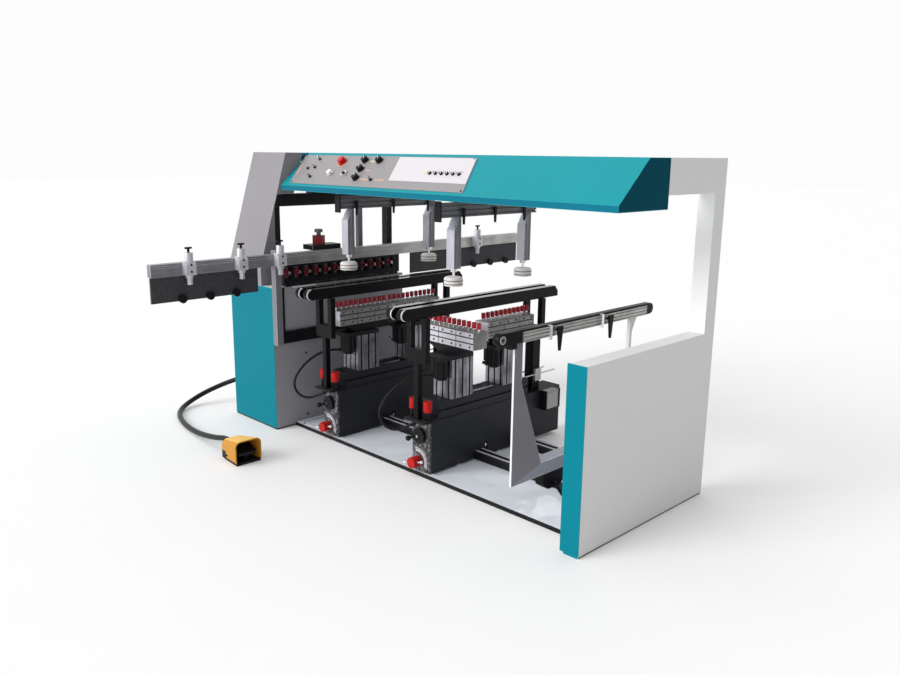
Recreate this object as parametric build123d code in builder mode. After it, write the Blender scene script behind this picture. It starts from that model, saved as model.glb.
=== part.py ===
from build123d import *

import os
from math import pi, radians, tan

# Multi-spindle panel boring machine.
# Two carriages cross the floor pan from side to side. Each carries two lifting, swivelling heads
# with a row of drill chucks, under a pair of work bars. A side head bores the panel's edge through
# the fence, and pressers under the hood hold the panel down.
# Millimetres. X runs from the left cabinet to the right end frame, Y from the operator to the rear,
# Z up. The origin is on the floor, under the middle of the body.

os.makedirs("parts", exist_ok=True)

# Body
body_width = 2440.0
body_depth = 906.0
body_height = 1471.0
sheet = 3.0
touch_gap = 0.3
run_gap = 0.05

# Left cabinet and the leaning column cover that stands on it
cabinet_width = 418.0
cabinet_height = 777.0
cover_thick = 4.0
plinth_height = 8.0
plinth_inset = 2.0
plinth_width = 30.0
column_width = 315.0
column_side = 110.0
column_knee = 98.0
column_lean = 177.0

# Right end frame
end_thick = 75.0
end_panel_step = 33.0
end_cover_lip = 12.0
upright_depth = 82.0
top_beam_height = 140.0
tongue_depth = 155.0
tongue_height = 110.0
tongue_inset = 10.0

# Hood
hood_set_back = 139.0
hood_depth = 329.0
hood_slope_run = 185.0
hood_height = 193.0
hood_lip = 25.0
hood_left_gap = 5.0

# Black frame behind the column cover, and the beam inside the hood
post_width = 60.0
post_depth = 35.0
post_set_back = 98.0
arm_set_back = 119.0
arm_drop = 281.0
arm_height = 65.0
rear_post_width = 45.0
rear_post_depth = 40.0
rear_post_in = 95.0
stay_width = 30.0
stay_y = 237.0
overhead_depth = 120.0
overhead_drop = 171.0
overhead_height = 120.0
overhead_wall = 6.0
hang_rail_height = 15.0
hang_rail_width = 20.0
hang_rail_spacing = 84.0

# Floor frame, pan and guide rails
base_set_back = 123.0
base_rear_gap = 23.0
base_bar = 30.0
base_bar_height = 20.0
pan_rise = 10.0
pan_thick = 4.0
pan_lip = 4.0
anchor_hole = 14.0
anchor_inset = 60.0
rail_front_y = 25.0
rail_rear_y = 320.0
rail_bed_width = 64.0
rail_bed_height = 30.0
rail_bar_width = 14.0
rail_bar_height = 14.0
rail_bar_spacing = 40.0
rail_end_gap = 6.0

# Carriages
row_1_out = 314.0
row_pitch = 698.0
carriage_width = 115.0
carriage_front = -310.0
carriage_rear = 632.0
carriage_bottom = 24.0
carriage_top = 274.0
side_plate = 8.0
top_plate = 10.0
front_plate = 12.0
front_plate_round = 14.0
notch_width = 96.0
notch_top = 92.0
bearing_length = 80.0
bearing_height = 44.0
drill_bed_width = 108.0
drill_bed_height = 83.0
drill_bed_front = -262.0
drill_bed_rear = 372.0
bed_slot_width = 10.0
bed_slot_depth = 8.0
shelf_thick = 10.0
shelf_front = -370.0
shelf_rear = -268.0
shelf_width = 132.0

# Hand controls on the front of a carriage
wheel_z = 200.0
wheel_radius = 37.0
wheel_thick = 18.0
wheel_shaft = 14.0
crank_reach = 40.0
crank_angle = 200.0
crank_rod = 5.0
grip_length = 17.0
grip_radius = 7.0
grip_ball = 13.0
lock_x = -22.0
lock_z = 68.0
lock_radius = 26.0
lock_length = 44.0
lock_shaft = 12.0
lock_bar_reach = 60.0
lock_bar_angle = 15.0
lock_bar_radius = 4.5
lock_ball = 8.0
regulator_x = 48.0
regulator_y = -325.0
regulator_base_radius = 15.0
regulator_base_height = 40.0
regulator_knob_radius = 20.0
regulator_knob_height = 48.0

# Work bars
bar_offset = 35.0
bar_width = 34.0
bar_bottom = 761.0
bar_height = 54.0
bar_front = -486.0
bar_rear = 592.0
bar_rear_cut = 22.0
fork_front_y = -341.0
fork_rear_y = 467.0
fork_front_stem = 28.0
fork_rear_stem = 55.0
fork_prong = 28.0
fork_prong_offset = 50.0
fork_bridge_bottom = 554.0
fork_bridge_height = 63.0

# Boring heads
spindle_pitch = 32.0
spindle_count = 11
head_front_y = -114.0
head_pitch = 360.0
head_length = 350.0
head_width = 90.0
head_drop = 156.0
head_height = 78.0
head_groove = 2.5
head_groove_height = 6.0
foot_height = 40.0
foot_top_length = 292.0
foot_low_length = 130.0
foot_width = 84.0
spigot_radius = 30.0
spigot_length = 16.0
chuck_neck_radius = 5.5
chuck_neck_height = 15.0
chuck_radius = 10.5
chuck_height = 27.0

# Lifts
column_x = 122.0
column_y = 142.0
column_slot = 9.0
column_slot_depth = 7.0
lift_plate_thick = 20.0
lift_rod_radius = 12.0
lift_rod_spacing = 96.0
lift_rod_length = 110.0
motor_radius = 30.0
motor_height = 92.0
motor_gap = 4.0
motor_rim = 6.0
motor_x = 25.0
ram_x = -38.0
ram_width = 30.0
ram_round = 7.0
ram_length = 70.4
ram_gap = 4.0
ram_rod = 6.0
elbow_radius = 12.0
elbow_height = 25.0
elbow_reach = 24.0

# Drive motor at the rear of a carriage
drive_y = 465.0
drive_length = 115.0
drive_bottom = 177.0
drive_height = 95.0
drive_out = 42.0
drive_fin = 6.0
drive_fins = 5
drive_end = 9.0
drive_end_rim = 4.0
valve_out = 15.0
valve_width = 45.0
valve_bottom = 325.0
valve_height = 63.0

# Fence
fence_stand = 37.0
fence_thick = 36.0
fence_lift = 120.0
fence_height = 61.0
fence_front = -1120.0
fence_rear = 1450.0
fence_slot = 8.0
fence_post_width = 38.0
fence_post_drop = 304.0
fence_post_rise = 18.0
face_thick = 10.0
face_height = 123.0
face_set_back = 10.0
front_face_rear = -551.0
rear_face_front = 495.0
roller_radius = 20.0
roller_thick = 18.0
roller_ys = (1030.0, 1185.0, 1335.0)

# Fence stops
stop_ys = (-939.0, -660.0, -434.0, 1035.0)
stop_width = 50.0
stop_depth = 45.0
stop_lift = 3.0
stop_height = 66.0
stop_slope = 14.0
stop_bush_radius = 18.0
stop_bush_drop = 14.0
stop_cap_radius = 20.0
stop_cap_height = 40.0
stop_nipple_radius = 6.0
stop_nipple_height = 22.0
stop_tee_radius = 5.0
stop_tee_length = 34.0
stop_pin_radius = 13.0
stop_pin_drop = 46.0
stop_pin_grip = 18.0
stop_stroke = 38.0

# Side head, its bed and turret
side_bed_thick = 13.0
side_bed_back = 98.0
side_bed_margin = 12.0
side_head_back = 91.0
side_head_out = 12.0
side_head_y = 16.0
side_head_length = 800.0
side_head_height = 102.0
side_head_back_height = 72.0
side_head_back_run = 48.0
side_row_y = -7.0
side_row_lift = 73.0
side_pitch = 64.0
side_count = 12
side_pocket_width = 44.0
side_pocket_height = 62.0
side_pocket_depth = 30.0
side_chuck_radius = 9.0
side_collar_radius = 18.0
side_collar_length = 20.0
side_chuck_reach = 28.0
side_frame_thick = 12.0
side_leg_width = 30.0
side_leg_drop = 305.0
side_rung_height = 68.0
side_rung_gap = 53.0
turret_y = -125.0
turret_back = 33.0
turret_plate_x = 90.0
turret_plate_front = 73.0
turret_plate_rear = 115.0
turret_plate_thick = 26.0
turret_radius = 34.0
turret_sides = 6
turret_height = 48.0
turret_neck_radius = 12.0
turret_knob_radius = 23.0
turret_knob_height = 17.0
turret_knob_rim = 4.0
turret_spindle = 8.0

# Control panel: places are along X from its lower left corner and up the slope from the hood's lip
panel_thick = 3.0
panel_low = 18.0
panel_high = 229.0
panel_left_in = 65.0
panel_length = 1274.0
panel_lean = -65.0
inset_thick = 1.5
inset_low = 68.0
inset_high = 224.0
inset_left = 755.0
inset_length = 500.0
emergency_at = (305.0, 180.0)
emergency_ring = 27.0
emergency_ring_height = 6.0
emergency_radius = 20.0
emergency_dome = 16.0
emergency_travel = 5.0
start_at = (284.0, 94.0)
start_bezel = 17.0
start_radius = 13.0
button_stand = 10.0
bezel_height = 5.0
stem_radius = 7.0
stem_tail = 3.0
selector_1_at = (475.0, 193.0)
selector_2_at = (583.0, 194.0)
selector_radius = 15.0
selector_height = 13.0
selector_bar = 8.0
fixed_knobs_at = ((494.0, 132.0), (512.0, 71.0))
chrome_button_at = (395.0, 96.0)
key_places = ((93.0, 196.0), (56.0, 127.0), (109.0, 136.0), (136.0, 67.0), (629.0, 65.0))
key_radius = 8.0
key_height = 6.0
dial_count = 6
dial_pitch = 36.6
dial_first = 995.0
dial_up = 121.0
dial_radius = 8.0
dial_height = 9.0

# Pressers
presser_1_shift = -32.0
presser_2_shift = 4.0
presser_beam_width = 40.0
presser_beam_height = 65.0
presser_beam_front = -224.0
presser_beam_rear = 430.0
presser_slot = 7.0
trolley_width = 100.0
trolley_height = 24.7
end_plate_thick = 8.0
end_plate_drop = 18.0
presser_1_ys = (-164.0, 403.0)
presser_2_ys = (-126.0, 363.0)
cylinder_width = 50.0
cylinder_depth = 44.0
cylinder_lift = 38.0
cylinder_slope = 34.0
cylinder_foot_radius = 16.0
cylinder_foot_height = 14.0
cylinder_groove = 5.0
lever_width = 16.0
lever_tip = 7.0
lever_length = 66.0
lever_pin = 4.0
lever_thick = 9.0
lever_y = 34.0
presser_rod_radius = 6.0
presser_rod_share = 0.22
pad_radius = 44.0
pad_height = 40.0
pad_lift = 67.0
pad_waist = 14.0
presser_stroke = 55.0

# Third support
support_in = 290.0
support_rail_width = 40.0
support_rail_height = 42.0
support_strip_thick = 8.0
support_rail_front = -395.0
support_rail_rear = 470.0
support_strip_width = 30.0
support_strip_front = -538.0
support_strip_rear = 528.0
support_groove = 5.0
ring_radius = 16.0
ring_out = 3.0
bracket_length = 34.0
bracket_drop = 20.0
gusset_thick = 10.0
gusset_front = -428.0
gusset_top_depth = 46.0
gusset_foot_depth = 186.0
gusset_bend = 597.0
gusset_bottom = 170.0
foot_beam_height = 58.0
foot_beam_width = 60.0
foot_beam_rear = 400.0
foot_wall = 5.0
rear_stay = 17.0
rear_stay_y = 365.0
stay_flare = 34.0
clamp_ys = (-246.0, 104.0)
clamp_length = 16.0
clamp_thick = 16.0
clamp_lever_y = 50.0
clamp_lever_length = 84.0
clamp_lever_top = 34.0
clamp_lever_tip = 8.0
brake_y = -150.0
brake_length = 150.0
brake_height = 50.0
brake_width = 40.0
brake_lever_length = 70.0
brake_lever_radius = 7.0

# Foot pedal and its hose
pedal_in = 604.0
pedal_length = 146.0
pedal_y = -826.0
pedal_width = 142.0
pedal_height = 120.0
pedal_rear_width = 120.0
pedal_rear_height = 98.0
pedal_wall = 6.0
pedal_round = 28.0
pedal_base_thick = 12.0
pedal_notch_length = 40.0
pedal_notch_height = 48.0
pedal_tail = 22.0
pedal_hose_z = 72.0
treadle_pivot_x = 52.0
treadle_pivot_z = 32.0
treadle_hub = 9.0
treadle_pin_radius = 5.0
treadle_length = 82.0
treadle_low = 42.0
treadle_tip = 54.0
treadle_high = 82.0
treadle_side_gap = 5.0
hose_radius = 14.0
gland_radius = 20.0
gland_length = 26.0
pedal_gland_length = 16.0
gland_y = -300.0
gland_z = 170.0
air_hose_radius = 6.5
hose_start_way = (-1.0, -1.0, 0.0)
hose_end_x = -38.0
hose_end_z = 252.0
hose_end_way = (-0.71, -0.52, -0.47)
hose_lead_out = 40.0
hose_lead_in = 36.0

# Places that follow from the sizes above
x_left = -body_width / 2
x_right = body_width / 2
y_front = -body_depth / 2
y_rear = body_depth / 2
cabinet_right = x_left + cabinet_width
column_right = x_left + column_width
column_top_front = y_front + column_lean
end_inner = x_right - end_thick
end_panel_height = cabinet_height - end_panel_step
hood_left = column_right + hood_left_gap
hood_front = y_front + hood_set_back
hood_rear = hood_front + hood_depth
hood_top_front = hood_front + hood_slope_run
hood_bottom = body_height - hood_height
post_front = y_front + post_set_back
arm_front = y_front + arm_set_back
arm_bottom = body_height - arm_drop
arm_top = arm_bottom + arm_height
overhead_bottom = body_height - overhead_drop
base_front = y_front + base_set_back
base_rear = y_rear - base_rear_gap
base_left = cabinet_right
base_right = end_inner
pan_top = pan_rise + pan_thick
rail_bed_top = pan_top + rail_bed_height
rail_top = rail_bed_top + rail_bar_height
drill_bed_top = carriage_top + drill_bed_height
head_rear_y = head_front_y + head_pitch
head_bottom = bar_bottom - head_drop
foot_bottom = head_bottom - foot_height
lift_plate_top = foot_bottom - touch_gap
lift_plate_bottom = lift_plate_top - lift_plate_thick
column_top = lift_plate_bottom - touch_gap
ram_bottom = column_top - ram_gap - ram_length
head_top = head_bottom + head_height
bar_top = bar_bottom + bar_height
fence_face_x = cabinet_right + fence_stand
fence_left = fence_face_x - fence_thick
fence_bottom = cabinet_height + fence_lift
fence_top = fence_bottom + fence_height
stop_bottom = fence_bottom + stop_lift
side_head_face = cabinet_right + side_head_out
side_row_z = cabinet_height + side_row_lift
turret_x = cabinet_right - turret_back
overhead_rear = hood_rear - sheet
overhead_front = overhead_rear - overhead_depth
shelf_top = carriage_top + shelf_thick
trolley_top = overhead_bottom - hang_rail_height - touch_gap
presser_beam_top = trolley_top - trolley_height
presser_beam_bottom = presser_beam_top - presser_beam_height
pad_bottom = bar_top + pad_lift
cylinder_bottom = pad_bottom + pad_height + cylinder_lift
support_x = end_inner - support_in
support_rail_top = bar_top - support_strip_thick
support_rail_bottom = support_rail_top - support_rail_height
pedal_left = x_left + pedal_in
pedal_right = pedal_left + pedal_length
slope_foot = hood_bottom + hood_lip
row_1_x = cabinet_right + row_1_out
row_2_x = row_1_x + row_pitch
rows = {1: row_1_x, 2: row_2_x}
pressers_x = {1: row_1_x + presser_1_shift, 2: row_2_x + presser_2_shift}
pressers_y = {1: presser_1_ys, 2: presser_2_ys}
heads = {"front": head_front_y, "rear": head_rear_y}
turned_heads = {(2, "front")}
moving_controls = (emergency_at, start_at, selector_1_at, selector_2_at)
stem_depth = panel_thick + sheet + stem_tail
hood_slope = Plane(
    origin=(hood_left + panel_left_in, hood_front, slope_foot),
    x_dir=(1, 0, 0),
    z_dir=(0, slope_foot - body_height, hood_top_front - hood_front),
)


def at_x(x):
    """The plane across X: local axes run along Y and Z, and it extrudes towards +X."""
    return Plane.YZ.offset(x)


def at_y(y):
    """The plane across Y: local axes run along X and Z, and it extrudes towards -Y."""
    return Plane.XZ.offset(-y)


def at_z(z):
    """The plane across Z: local axes run along X and Y, and it extrudes upwards."""
    return Plane.XY.offset(z)


def prism(plane, points, depth, mode=Mode.ADD):
    """Extrude a closed outline drawn on a plane."""
    with BuildSketch(plane) as outline:
        with BuildLine():
            Polyline(*points, close=True)
        make_face()
    extrude(outline.sketch, amount=depth, mode=mode)


def rod(plane, centre, radius, depth, mode=Mode.ADD):
    """Extrude a round bar, or cut a round bore, from a plane."""
    with BuildSketch(plane) as disc:
        with Locations(centre):
            Circle(radius)
    extrude(disc.sketch, amount=depth, mode=mode)


def block(x, y, z, mode=Mode.ADD):
    """A square block between two corners, given as low and high pairs."""
    with Locations((sum(x) / 2, sum(y) / 2, sum(z) / 2)):
        Box(x[1] - x[0], y[1] - y[0], z[1] - z[0], mode=mode)


def about(centre, width):
    """The low and high ends of a width about a centre."""
    return (centre - width / 2, centre + width / 2)


def save(name, *builders):
    """Label a node and write it, as one group where it holds several pieces."""
    if len(builders) == 1:
        node = builders[0].part
        node.label = name
    else:
        node = Compound([s for b in builders for s in b.part.solids()], label=name)
    export_step(node, f"parts/{name}.step")


def floor_frame():
    """A floor plate with a raised rim that holds the pan, bolted down at four holes."""
    length = base_right - base_left
    depth = base_rear - base_front
    middle = ((base_left + base_right) / 2, (base_front + base_rear) / 2)
    with BuildPart() as base_frame:
        with BuildSketch():
            with Locations(middle):
                Rectangle(length, depth)
        extrude(amount=base_bar_height)
        with BuildSketch(at_z(pan_rise)):
            with Locations(middle):
                Rectangle(length - 2 * base_bar, depth - 2 * base_bar)
        extrude(amount=base_bar_height - pan_rise, mode=Mode.SUBTRACT)
        with Locations((*middle, base_bar_height)):
            with GridLocations(length - 2 * anchor_inset, depth - base_bar, 2, 2):
                Hole(anchor_hole / 2, base_bar_height)
    save("base_frame", base_frame)


def floor_pan():
    """A light sheet with turned-up edges, lying on the floor plate inside its rim."""
    length = base_right - base_left - 2 * base_bar
    depth = base_rear - base_front - 2 * base_bar
    middle = ((base_left + base_right) / 2, (base_front + base_rear) / 2)
    with BuildPart() as base_pan:
        with BuildSketch(at_z(pan_rise)):
            with Locations(middle):
                Rectangle(length, depth)
        extrude(amount=pan_thick + pan_lip)
        with BuildSketch(at_z(pan_top)):
            with Locations(middle):
                Rectangle(length - 2 * sheet, depth - 2 * sheet)
        extrude(amount=pan_lip, mode=Mode.SUBTRACT)
    save("base_pan", base_pan)


def rails():
    """Two beds along X, each with two ground guide bars with rounded tops."""
    inset = base_bar + sheet + rail_end_gap
    start = base_left + inset
    length = base_right - base_left - 2 * inset
    pieces = []
    for y in (rail_front_y, rail_rear_y):
        with BuildPart() as bed:
            with BuildSketch(at_x(start)):
                with Locations((y, pan_top + rail_bed_height / 2)):
                    Rectangle(rail_bed_width, rail_bed_height)
                    Rectangle(rail_bar_width, rail_bed_height / 2, align=(Align.CENTER, Align.MIN),
                              mode=Mode.SUBTRACT)
            extrude(amount=length)
        pieces.append(bed)
        with BuildPart() as bars:
            with BuildSketch(at_x(start)):
                with Locations((y, rail_bed_top + rail_bar_height / 2)):
                    with GridLocations(rail_bar_spacing, 1, 2, 1):
                        Rectangle(rail_bar_width, rail_bar_height)
            extrude(amount=length)
            tops = bars.faces().group_by(Axis.Z)[-1].edges().filter_by(Axis.X)
            fillet(tops, rail_bar_width / 3)
        pieces.append(bars)
    save("guide_rails", *pieces)


def plinth(span):
    """A low open frame, set back from the walls that stand on it."""
    width = span[1] - span[0] - 2 * plinth_inset
    depth = body_depth - 2 * plinth_inset
    wall = min(plinth_width, width / 3)
    with BuildPart() as foot:
        with BuildSketch():
            with Locations((sum(span) / 2, 0)):
                Rectangle(width, depth)
                Rectangle(width - 2 * wall, depth - 2 * wall, mode=Mode.SUBTRACT)
        extrude(amount=plinth_height)
    return foot


def cabinet():
    """The folded-sheet cabinet under the left end, on a set-back plinth and open at the floor."""
    with BuildPart() as left_cabinet:
        block((x_left, cabinet_right), (y_front + cover_thick, y_rear), (plinth_height, cabinet_height))
        offset(amount=-sheet, openings=left_cabinet.faces().sort_by(Axis.Z)[:1])
    foot = plinth((x_left, cabinet_right))
    with BuildPart() as gland:
        rod(at_x(x_left), (gland_y, gland_z), gland_radius, -gland_length)
    save("left_cabinet", left_cabinet, foot, gland)


def covers():
    """The coloured panels on the front of the cabinet and of the right end frame."""
    with BuildPart() as left_cover:
        block((x_left, cabinet_right), (y_front, y_front + cover_thick), (plinth_height, cabinet_height))
    with BuildPart() as right_cover:
        block((end_inner - end_cover_lip, x_right), (y_front, y_front + cover_thick),
              (plinth_height, end_panel_height))
    save("front_covers", left_cover, right_cover)


def leaning_cover():
    """The column's cover: a front that leans back above the knee, with two sides, open behind.

    The sides are cut back to the post below the arm, so the front alone passes the arm's end.
    """
    knee = cabinet_height + column_knee
    lean_rate = column_lean / (body_height - knee)
    arm_lean_y = y_front + lean_rate * (arm_top - knee)
    post_lean_z = knee + (post_front - 2 * sheet - y_front) / lean_rate
    outline = (
        (y_front, cabinet_height),
        (y_front, knee),
        (column_top_front, body_height),
        (column_top_front + column_side, body_height),
        (arm_lean_y + column_side, arm_top),
        (arm_lean_y + 2 * sheet, arm_top),
        (post_front, post_lean_z),
        (post_front, cabinet_height),
    )
    hollow = (
        (y_front + sheet, cabinet_height),
        (y_front + sheet, knee),
        (column_top_front + sheet, body_height - sheet),
        (column_top_front + 2 * column_side, body_height - sheet),
        (column_top_front + 2 * column_side, cabinet_height),
    )
    with BuildPart() as column_cover:
        prism(at_x(x_left), outline, column_width)
        prism(at_x(x_left + sheet), hollow, column_width - 2 * sheet, mode=Mode.SUBTRACT)
    save("column_cover", column_cover)


def black_frame():
    """Posts and an arm on the cabinet, the box beam inside the hood and its hanging rails."""
    post_right = column_right - sheet - 1
    post_x = (post_right - post_width, post_right)
    rear_right = cabinet_right - rear_post_in
    rear_x = (rear_right - rear_post_width, rear_right)
    with BuildPart() as upper_frame:
        block(post_x, (post_front, post_front + post_depth), (cabinet_height, arm_bottom))
        block(post_x, (arm_front, y_rear), (arm_bottom, arm_top))
        block(rear_x, (y_rear - rear_post_depth, y_rear), (cabinet_height, arm_top))
        block(post_x, (overhead_front, overhead_rear), (arm_top, overhead_bottom))
        with BuildSketch(at_x(post_x[0])):
            with Locations(((overhead_front + overhead_rear) / 2, overhead_bottom + overhead_height / 2)):
                Rectangle(overhead_depth, overhead_height)
                Rectangle(overhead_depth - 2 * overhead_wall, overhead_height - 2 * overhead_wall,
                          mode=Mode.SUBTRACT)
        extrude(amount=end_inner - post_x[0])
        with BuildSketch(at_x(hood_left)):
            with Locations(((overhead_front + overhead_rear) / 2, overhead_bottom - hang_rail_height / 2)):
                with GridLocations(hang_rail_spacing, 1, 2, 1):
                    Rectangle(hang_rail_width, hang_rail_height)
        extrude(amount=end_inner - hood_left)
    with BuildPart() as stay:
        block(about(sum(post_x) / 2, stay_width), about(stay_y, stay_width), (cabinet_height, arm_bottom))
    save("upper_frame", upper_frame, stay)


def end_frame():
    """The C-shaped right end: panel, rear upright and top beam, with a tongue into the hood."""
    front = y_front + cover_thick
    beam_bottom = body_height - top_beam_height
    upright_front = y_rear - upright_depth
    outline = (
        (front, plinth_height),
        (y_rear, plinth_height),
        (y_rear, body_height),
        (hood_rear, body_height),
        (hood_rear, beam_bottom),
        (upright_front, beam_bottom),
        (upright_front, end_panel_height),
        (front, end_panel_height),
    )
    tongue_z = about(overhead_bottom + overhead_height / 2, tongue_height)
    with BuildPart() as right_end_frame:
        prism(at_x(end_inner), outline, end_thick)
        offset(amount=-sheet, openings=right_end_frame.faces().sort_by(Axis.Z)[:1])
        block((end_inner, x_right - tongue_inset), (hood_rear - tongue_depth, hood_rear + sheet), tongue_z)
    save("right_end_frame", right_end_frame, plinth((end_inner, x_right)))


def hood_shell():
    """The hood: lip, sloped front, top, rear wall and right end, open below and at the left."""
    outline = (
        (hood_front, hood_bottom),
        (hood_front, slope_foot),
        (hood_top_front, body_height),
        (hood_rear, body_height),
        (hood_rear, hood_bottom),
    )
    hollow = (
        (hood_front + sheet, hood_bottom),
        (hood_front + sheet, slope_foot - sheet / 2),
        (hood_top_front + sheet / 2, body_height - sheet),
        (hood_rear - sheet, body_height - sheet),
        (hood_rear - sheet, hood_bottom),
    )
    tongue_z = about(overhead_bottom + overhead_height / 2, tongue_height + 2 * touch_gap)
    with BuildPart() as hood:
        prism(at_x(hood_left), outline, x_right - hood_left)
        prism(at_x(hood_left), hollow, x_right - hood_left - sheet, mode=Mode.SUBTRACT)
        block((end_inner - touch_gap, x_right - tongue_inset + touch_gap),
              (hood_rear - 2 * sheet, hood_rear + sheet), tongue_z, mode=Mode.SUBTRACT)
        for place in moving_controls:
            rod(hood_slope, place, stem_radius + run_gap, -2 * sheet, mode=Mode.SUBTRACT)
    save("hood", hood)


def panel_points(left_low, right_low, low, high):
    """A panel on the slope whose ends lean to the left as they rise."""
    lean = panel_lean * (high - low) / (panel_high - panel_low)
    return ((left_low, low), (right_low, low), (right_low + lean, high), (left_low + lean, high))


def controls():
    """The sloped control panel with its fixed fittings, and the pieces that the hand moves."""
    face = hood_slope.offset(panel_thick)
    with BuildPart() as plate:
        outline = panel_points(0, panel_length, panel_low, panel_high)
        prism(hood_slope, outline, panel_thick)
        for place in moving_controls:
            rod(hood_slope, place, stem_radius + run_gap, panel_thick, mode=Mode.SUBTRACT)
    with BuildPart() as inset:
        outline = panel_points(inset_left, inset_left + inset_length, inset_low, inset_high)
        prism(face, outline, inset_thick)
    with BuildPart() as fittings:
        for place, radius, height in ((emergency_at, emergency_ring, emergency_ring_height),
                                      (start_at, start_bezel, bezel_height)):
            rod(face, place, radius, height)
            rod(face, place, stem_radius + run_gap, height, mode=Mode.SUBTRACT)
        for place in fixed_knobs_at:
            rod(face, place, selector_radius, selector_height)
        rod(face, chrome_button_at, start_bezel, button_stand)
        for place in key_places:
            rod(face, place, key_radius, key_height)
    with BuildPart() as dials:
        for i in range(dial_count):
            rod(face.offset(inset_thick), (dial_first + i * dial_pitch, dial_up), dial_radius, dial_height)
    save("control_panel", plate, inset, fittings, dials)

    ring_top = face.offset(emergency_ring_height + emergency_travel + touch_gap)
    with BuildPart() as emergency_button:
        rod(ring_top, emergency_at, emergency_radius, emergency_dome)
        fillet(emergency_button.edges().group_by(Axis.Z)[-1], emergency_dome / 3)
        rod(ring_top, emergency_at, stem_radius, -(emergency_ring_height + emergency_travel + stem_depth))
    save("emergency_button", emergency_button)

    cap_foot = face.offset(bezel_height + emergency_travel + touch_gap)
    with BuildPart() as start_button:
        rod(cap_foot, start_at, start_radius, button_stand)
        rod(cap_foot, start_at, stem_radius, -(bezel_height + emergency_travel + stem_depth))
    save("start_button", start_button)

    for name, place in (("selector_1", selector_1_at), ("selector_2", selector_2_at)):
        with BuildPart() as selector:
            rod(face.offset(touch_gap), place, selector_radius, selector_height)
            rod(face.offset(touch_gap), place, stem_radius, -stem_depth)
            with BuildSketch(face.offset(touch_gap + selector_height)) as bar:
                with Locations(place):
                    Rectangle(selector_bar, 2 * selector_radius)
            extrude(bar.sketch, amount=selector_bar)
        save(name, selector)


def fence():
    """The long fence: two extruded beams that butt on a post, with black faces below."""
    post_y = (y_front, y_front + fence_post_width)
    spans = ((fence_front, post_y[0]), (post_y[1], fence_rear))
    pieces = []
    for start, end in spans:
        with BuildPart() as beam:
            with BuildSketch(at_y(end)):
                with Locations(((fence_left + fence_face_x) / 2, fence_bottom + fence_height / 2)):
                    Rectangle(fence_thick, fence_height)
                    with Locations((0, fence_height / 2), (fence_thick / 2, fence_height / 4)):
                        Rectangle(fence_slot, fence_slot, mode=Mode.SUBTRACT)
            extrude(amount=end - start)
        pieces.append(beam)
    with BuildPart() as post:
        block((cabinet_right, fence_face_x), post_y,
              (cabinet_height - fence_post_drop, fence_top + fence_post_rise))
    save("fence_beam", *pieces, post)

    face_x = (fence_face_x - face_set_back - face_thick, fence_face_x - face_set_back)
    face_z = (fence_bottom - face_height, fence_bottom)
    with BuildPart() as fence_faces:
        block(face_x, (fence_front, front_face_rear), face_z)
        block(face_x, (rear_face_front, fence_rear), face_z)
        for y in roller_ys:
            rod(at_x(face_x[1]), (y, face_z[0] + roller_radius / 2), roller_radius, roller_thick)
    save("fence_faces", fence_faces)


def fence_stops():
    """Four air-driven stops on the fence, each with a pin that drops in the panel's way."""
    front_x = fence_face_x + stop_depth
    middle_x = fence_face_x + stop_depth / 2
    stop_top = stop_bottom + stop_height
    cap_top = stop_top + stop_cap_height
    with BuildPart() as stop_bodies:
        for y in stop_ys:
            prism(at_y(y + stop_width / 2), (
                (fence_face_x, stop_bottom),
                (front_x, stop_bottom),
                (front_x, stop_top - stop_slope),
                (front_x - stop_slope, stop_top),
                (fence_face_x, stop_top),
            ), stop_width)
            rod(at_z(stop_top - stop_slope), (middle_x, y), stop_cap_radius, stop_cap_height + stop_slope)
            rod(at_z(cap_top), (middle_x, y), stop_nipple_radius, stop_nipple_height)
            rod(at_y(y + stop_tee_length / 2), (middle_x, cap_top + stop_nipple_height), stop_tee_radius,
                stop_tee_length)
            rod(at_z(stop_bottom), (middle_x, y), stop_bush_radius, -stop_bush_drop)
            rod(at_z(stop_bottom - stop_bush_drop), (middle_x, y), stop_pin_radius + run_gap,
                stop_bush_drop + stop_pin_grip + stop_stroke + touch_gap, mode=Mode.SUBTRACT)
    save("stop_bodies", stop_bodies)

    with BuildPart() as stop_pins:
        for y in stop_ys:
            rod(at_z(stop_bottom - stop_pin_drop), (middle_x, y), stop_pin_radius,
                stop_pin_drop + stop_pin_grip)
    save("stop_pins", stop_pins)


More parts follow.
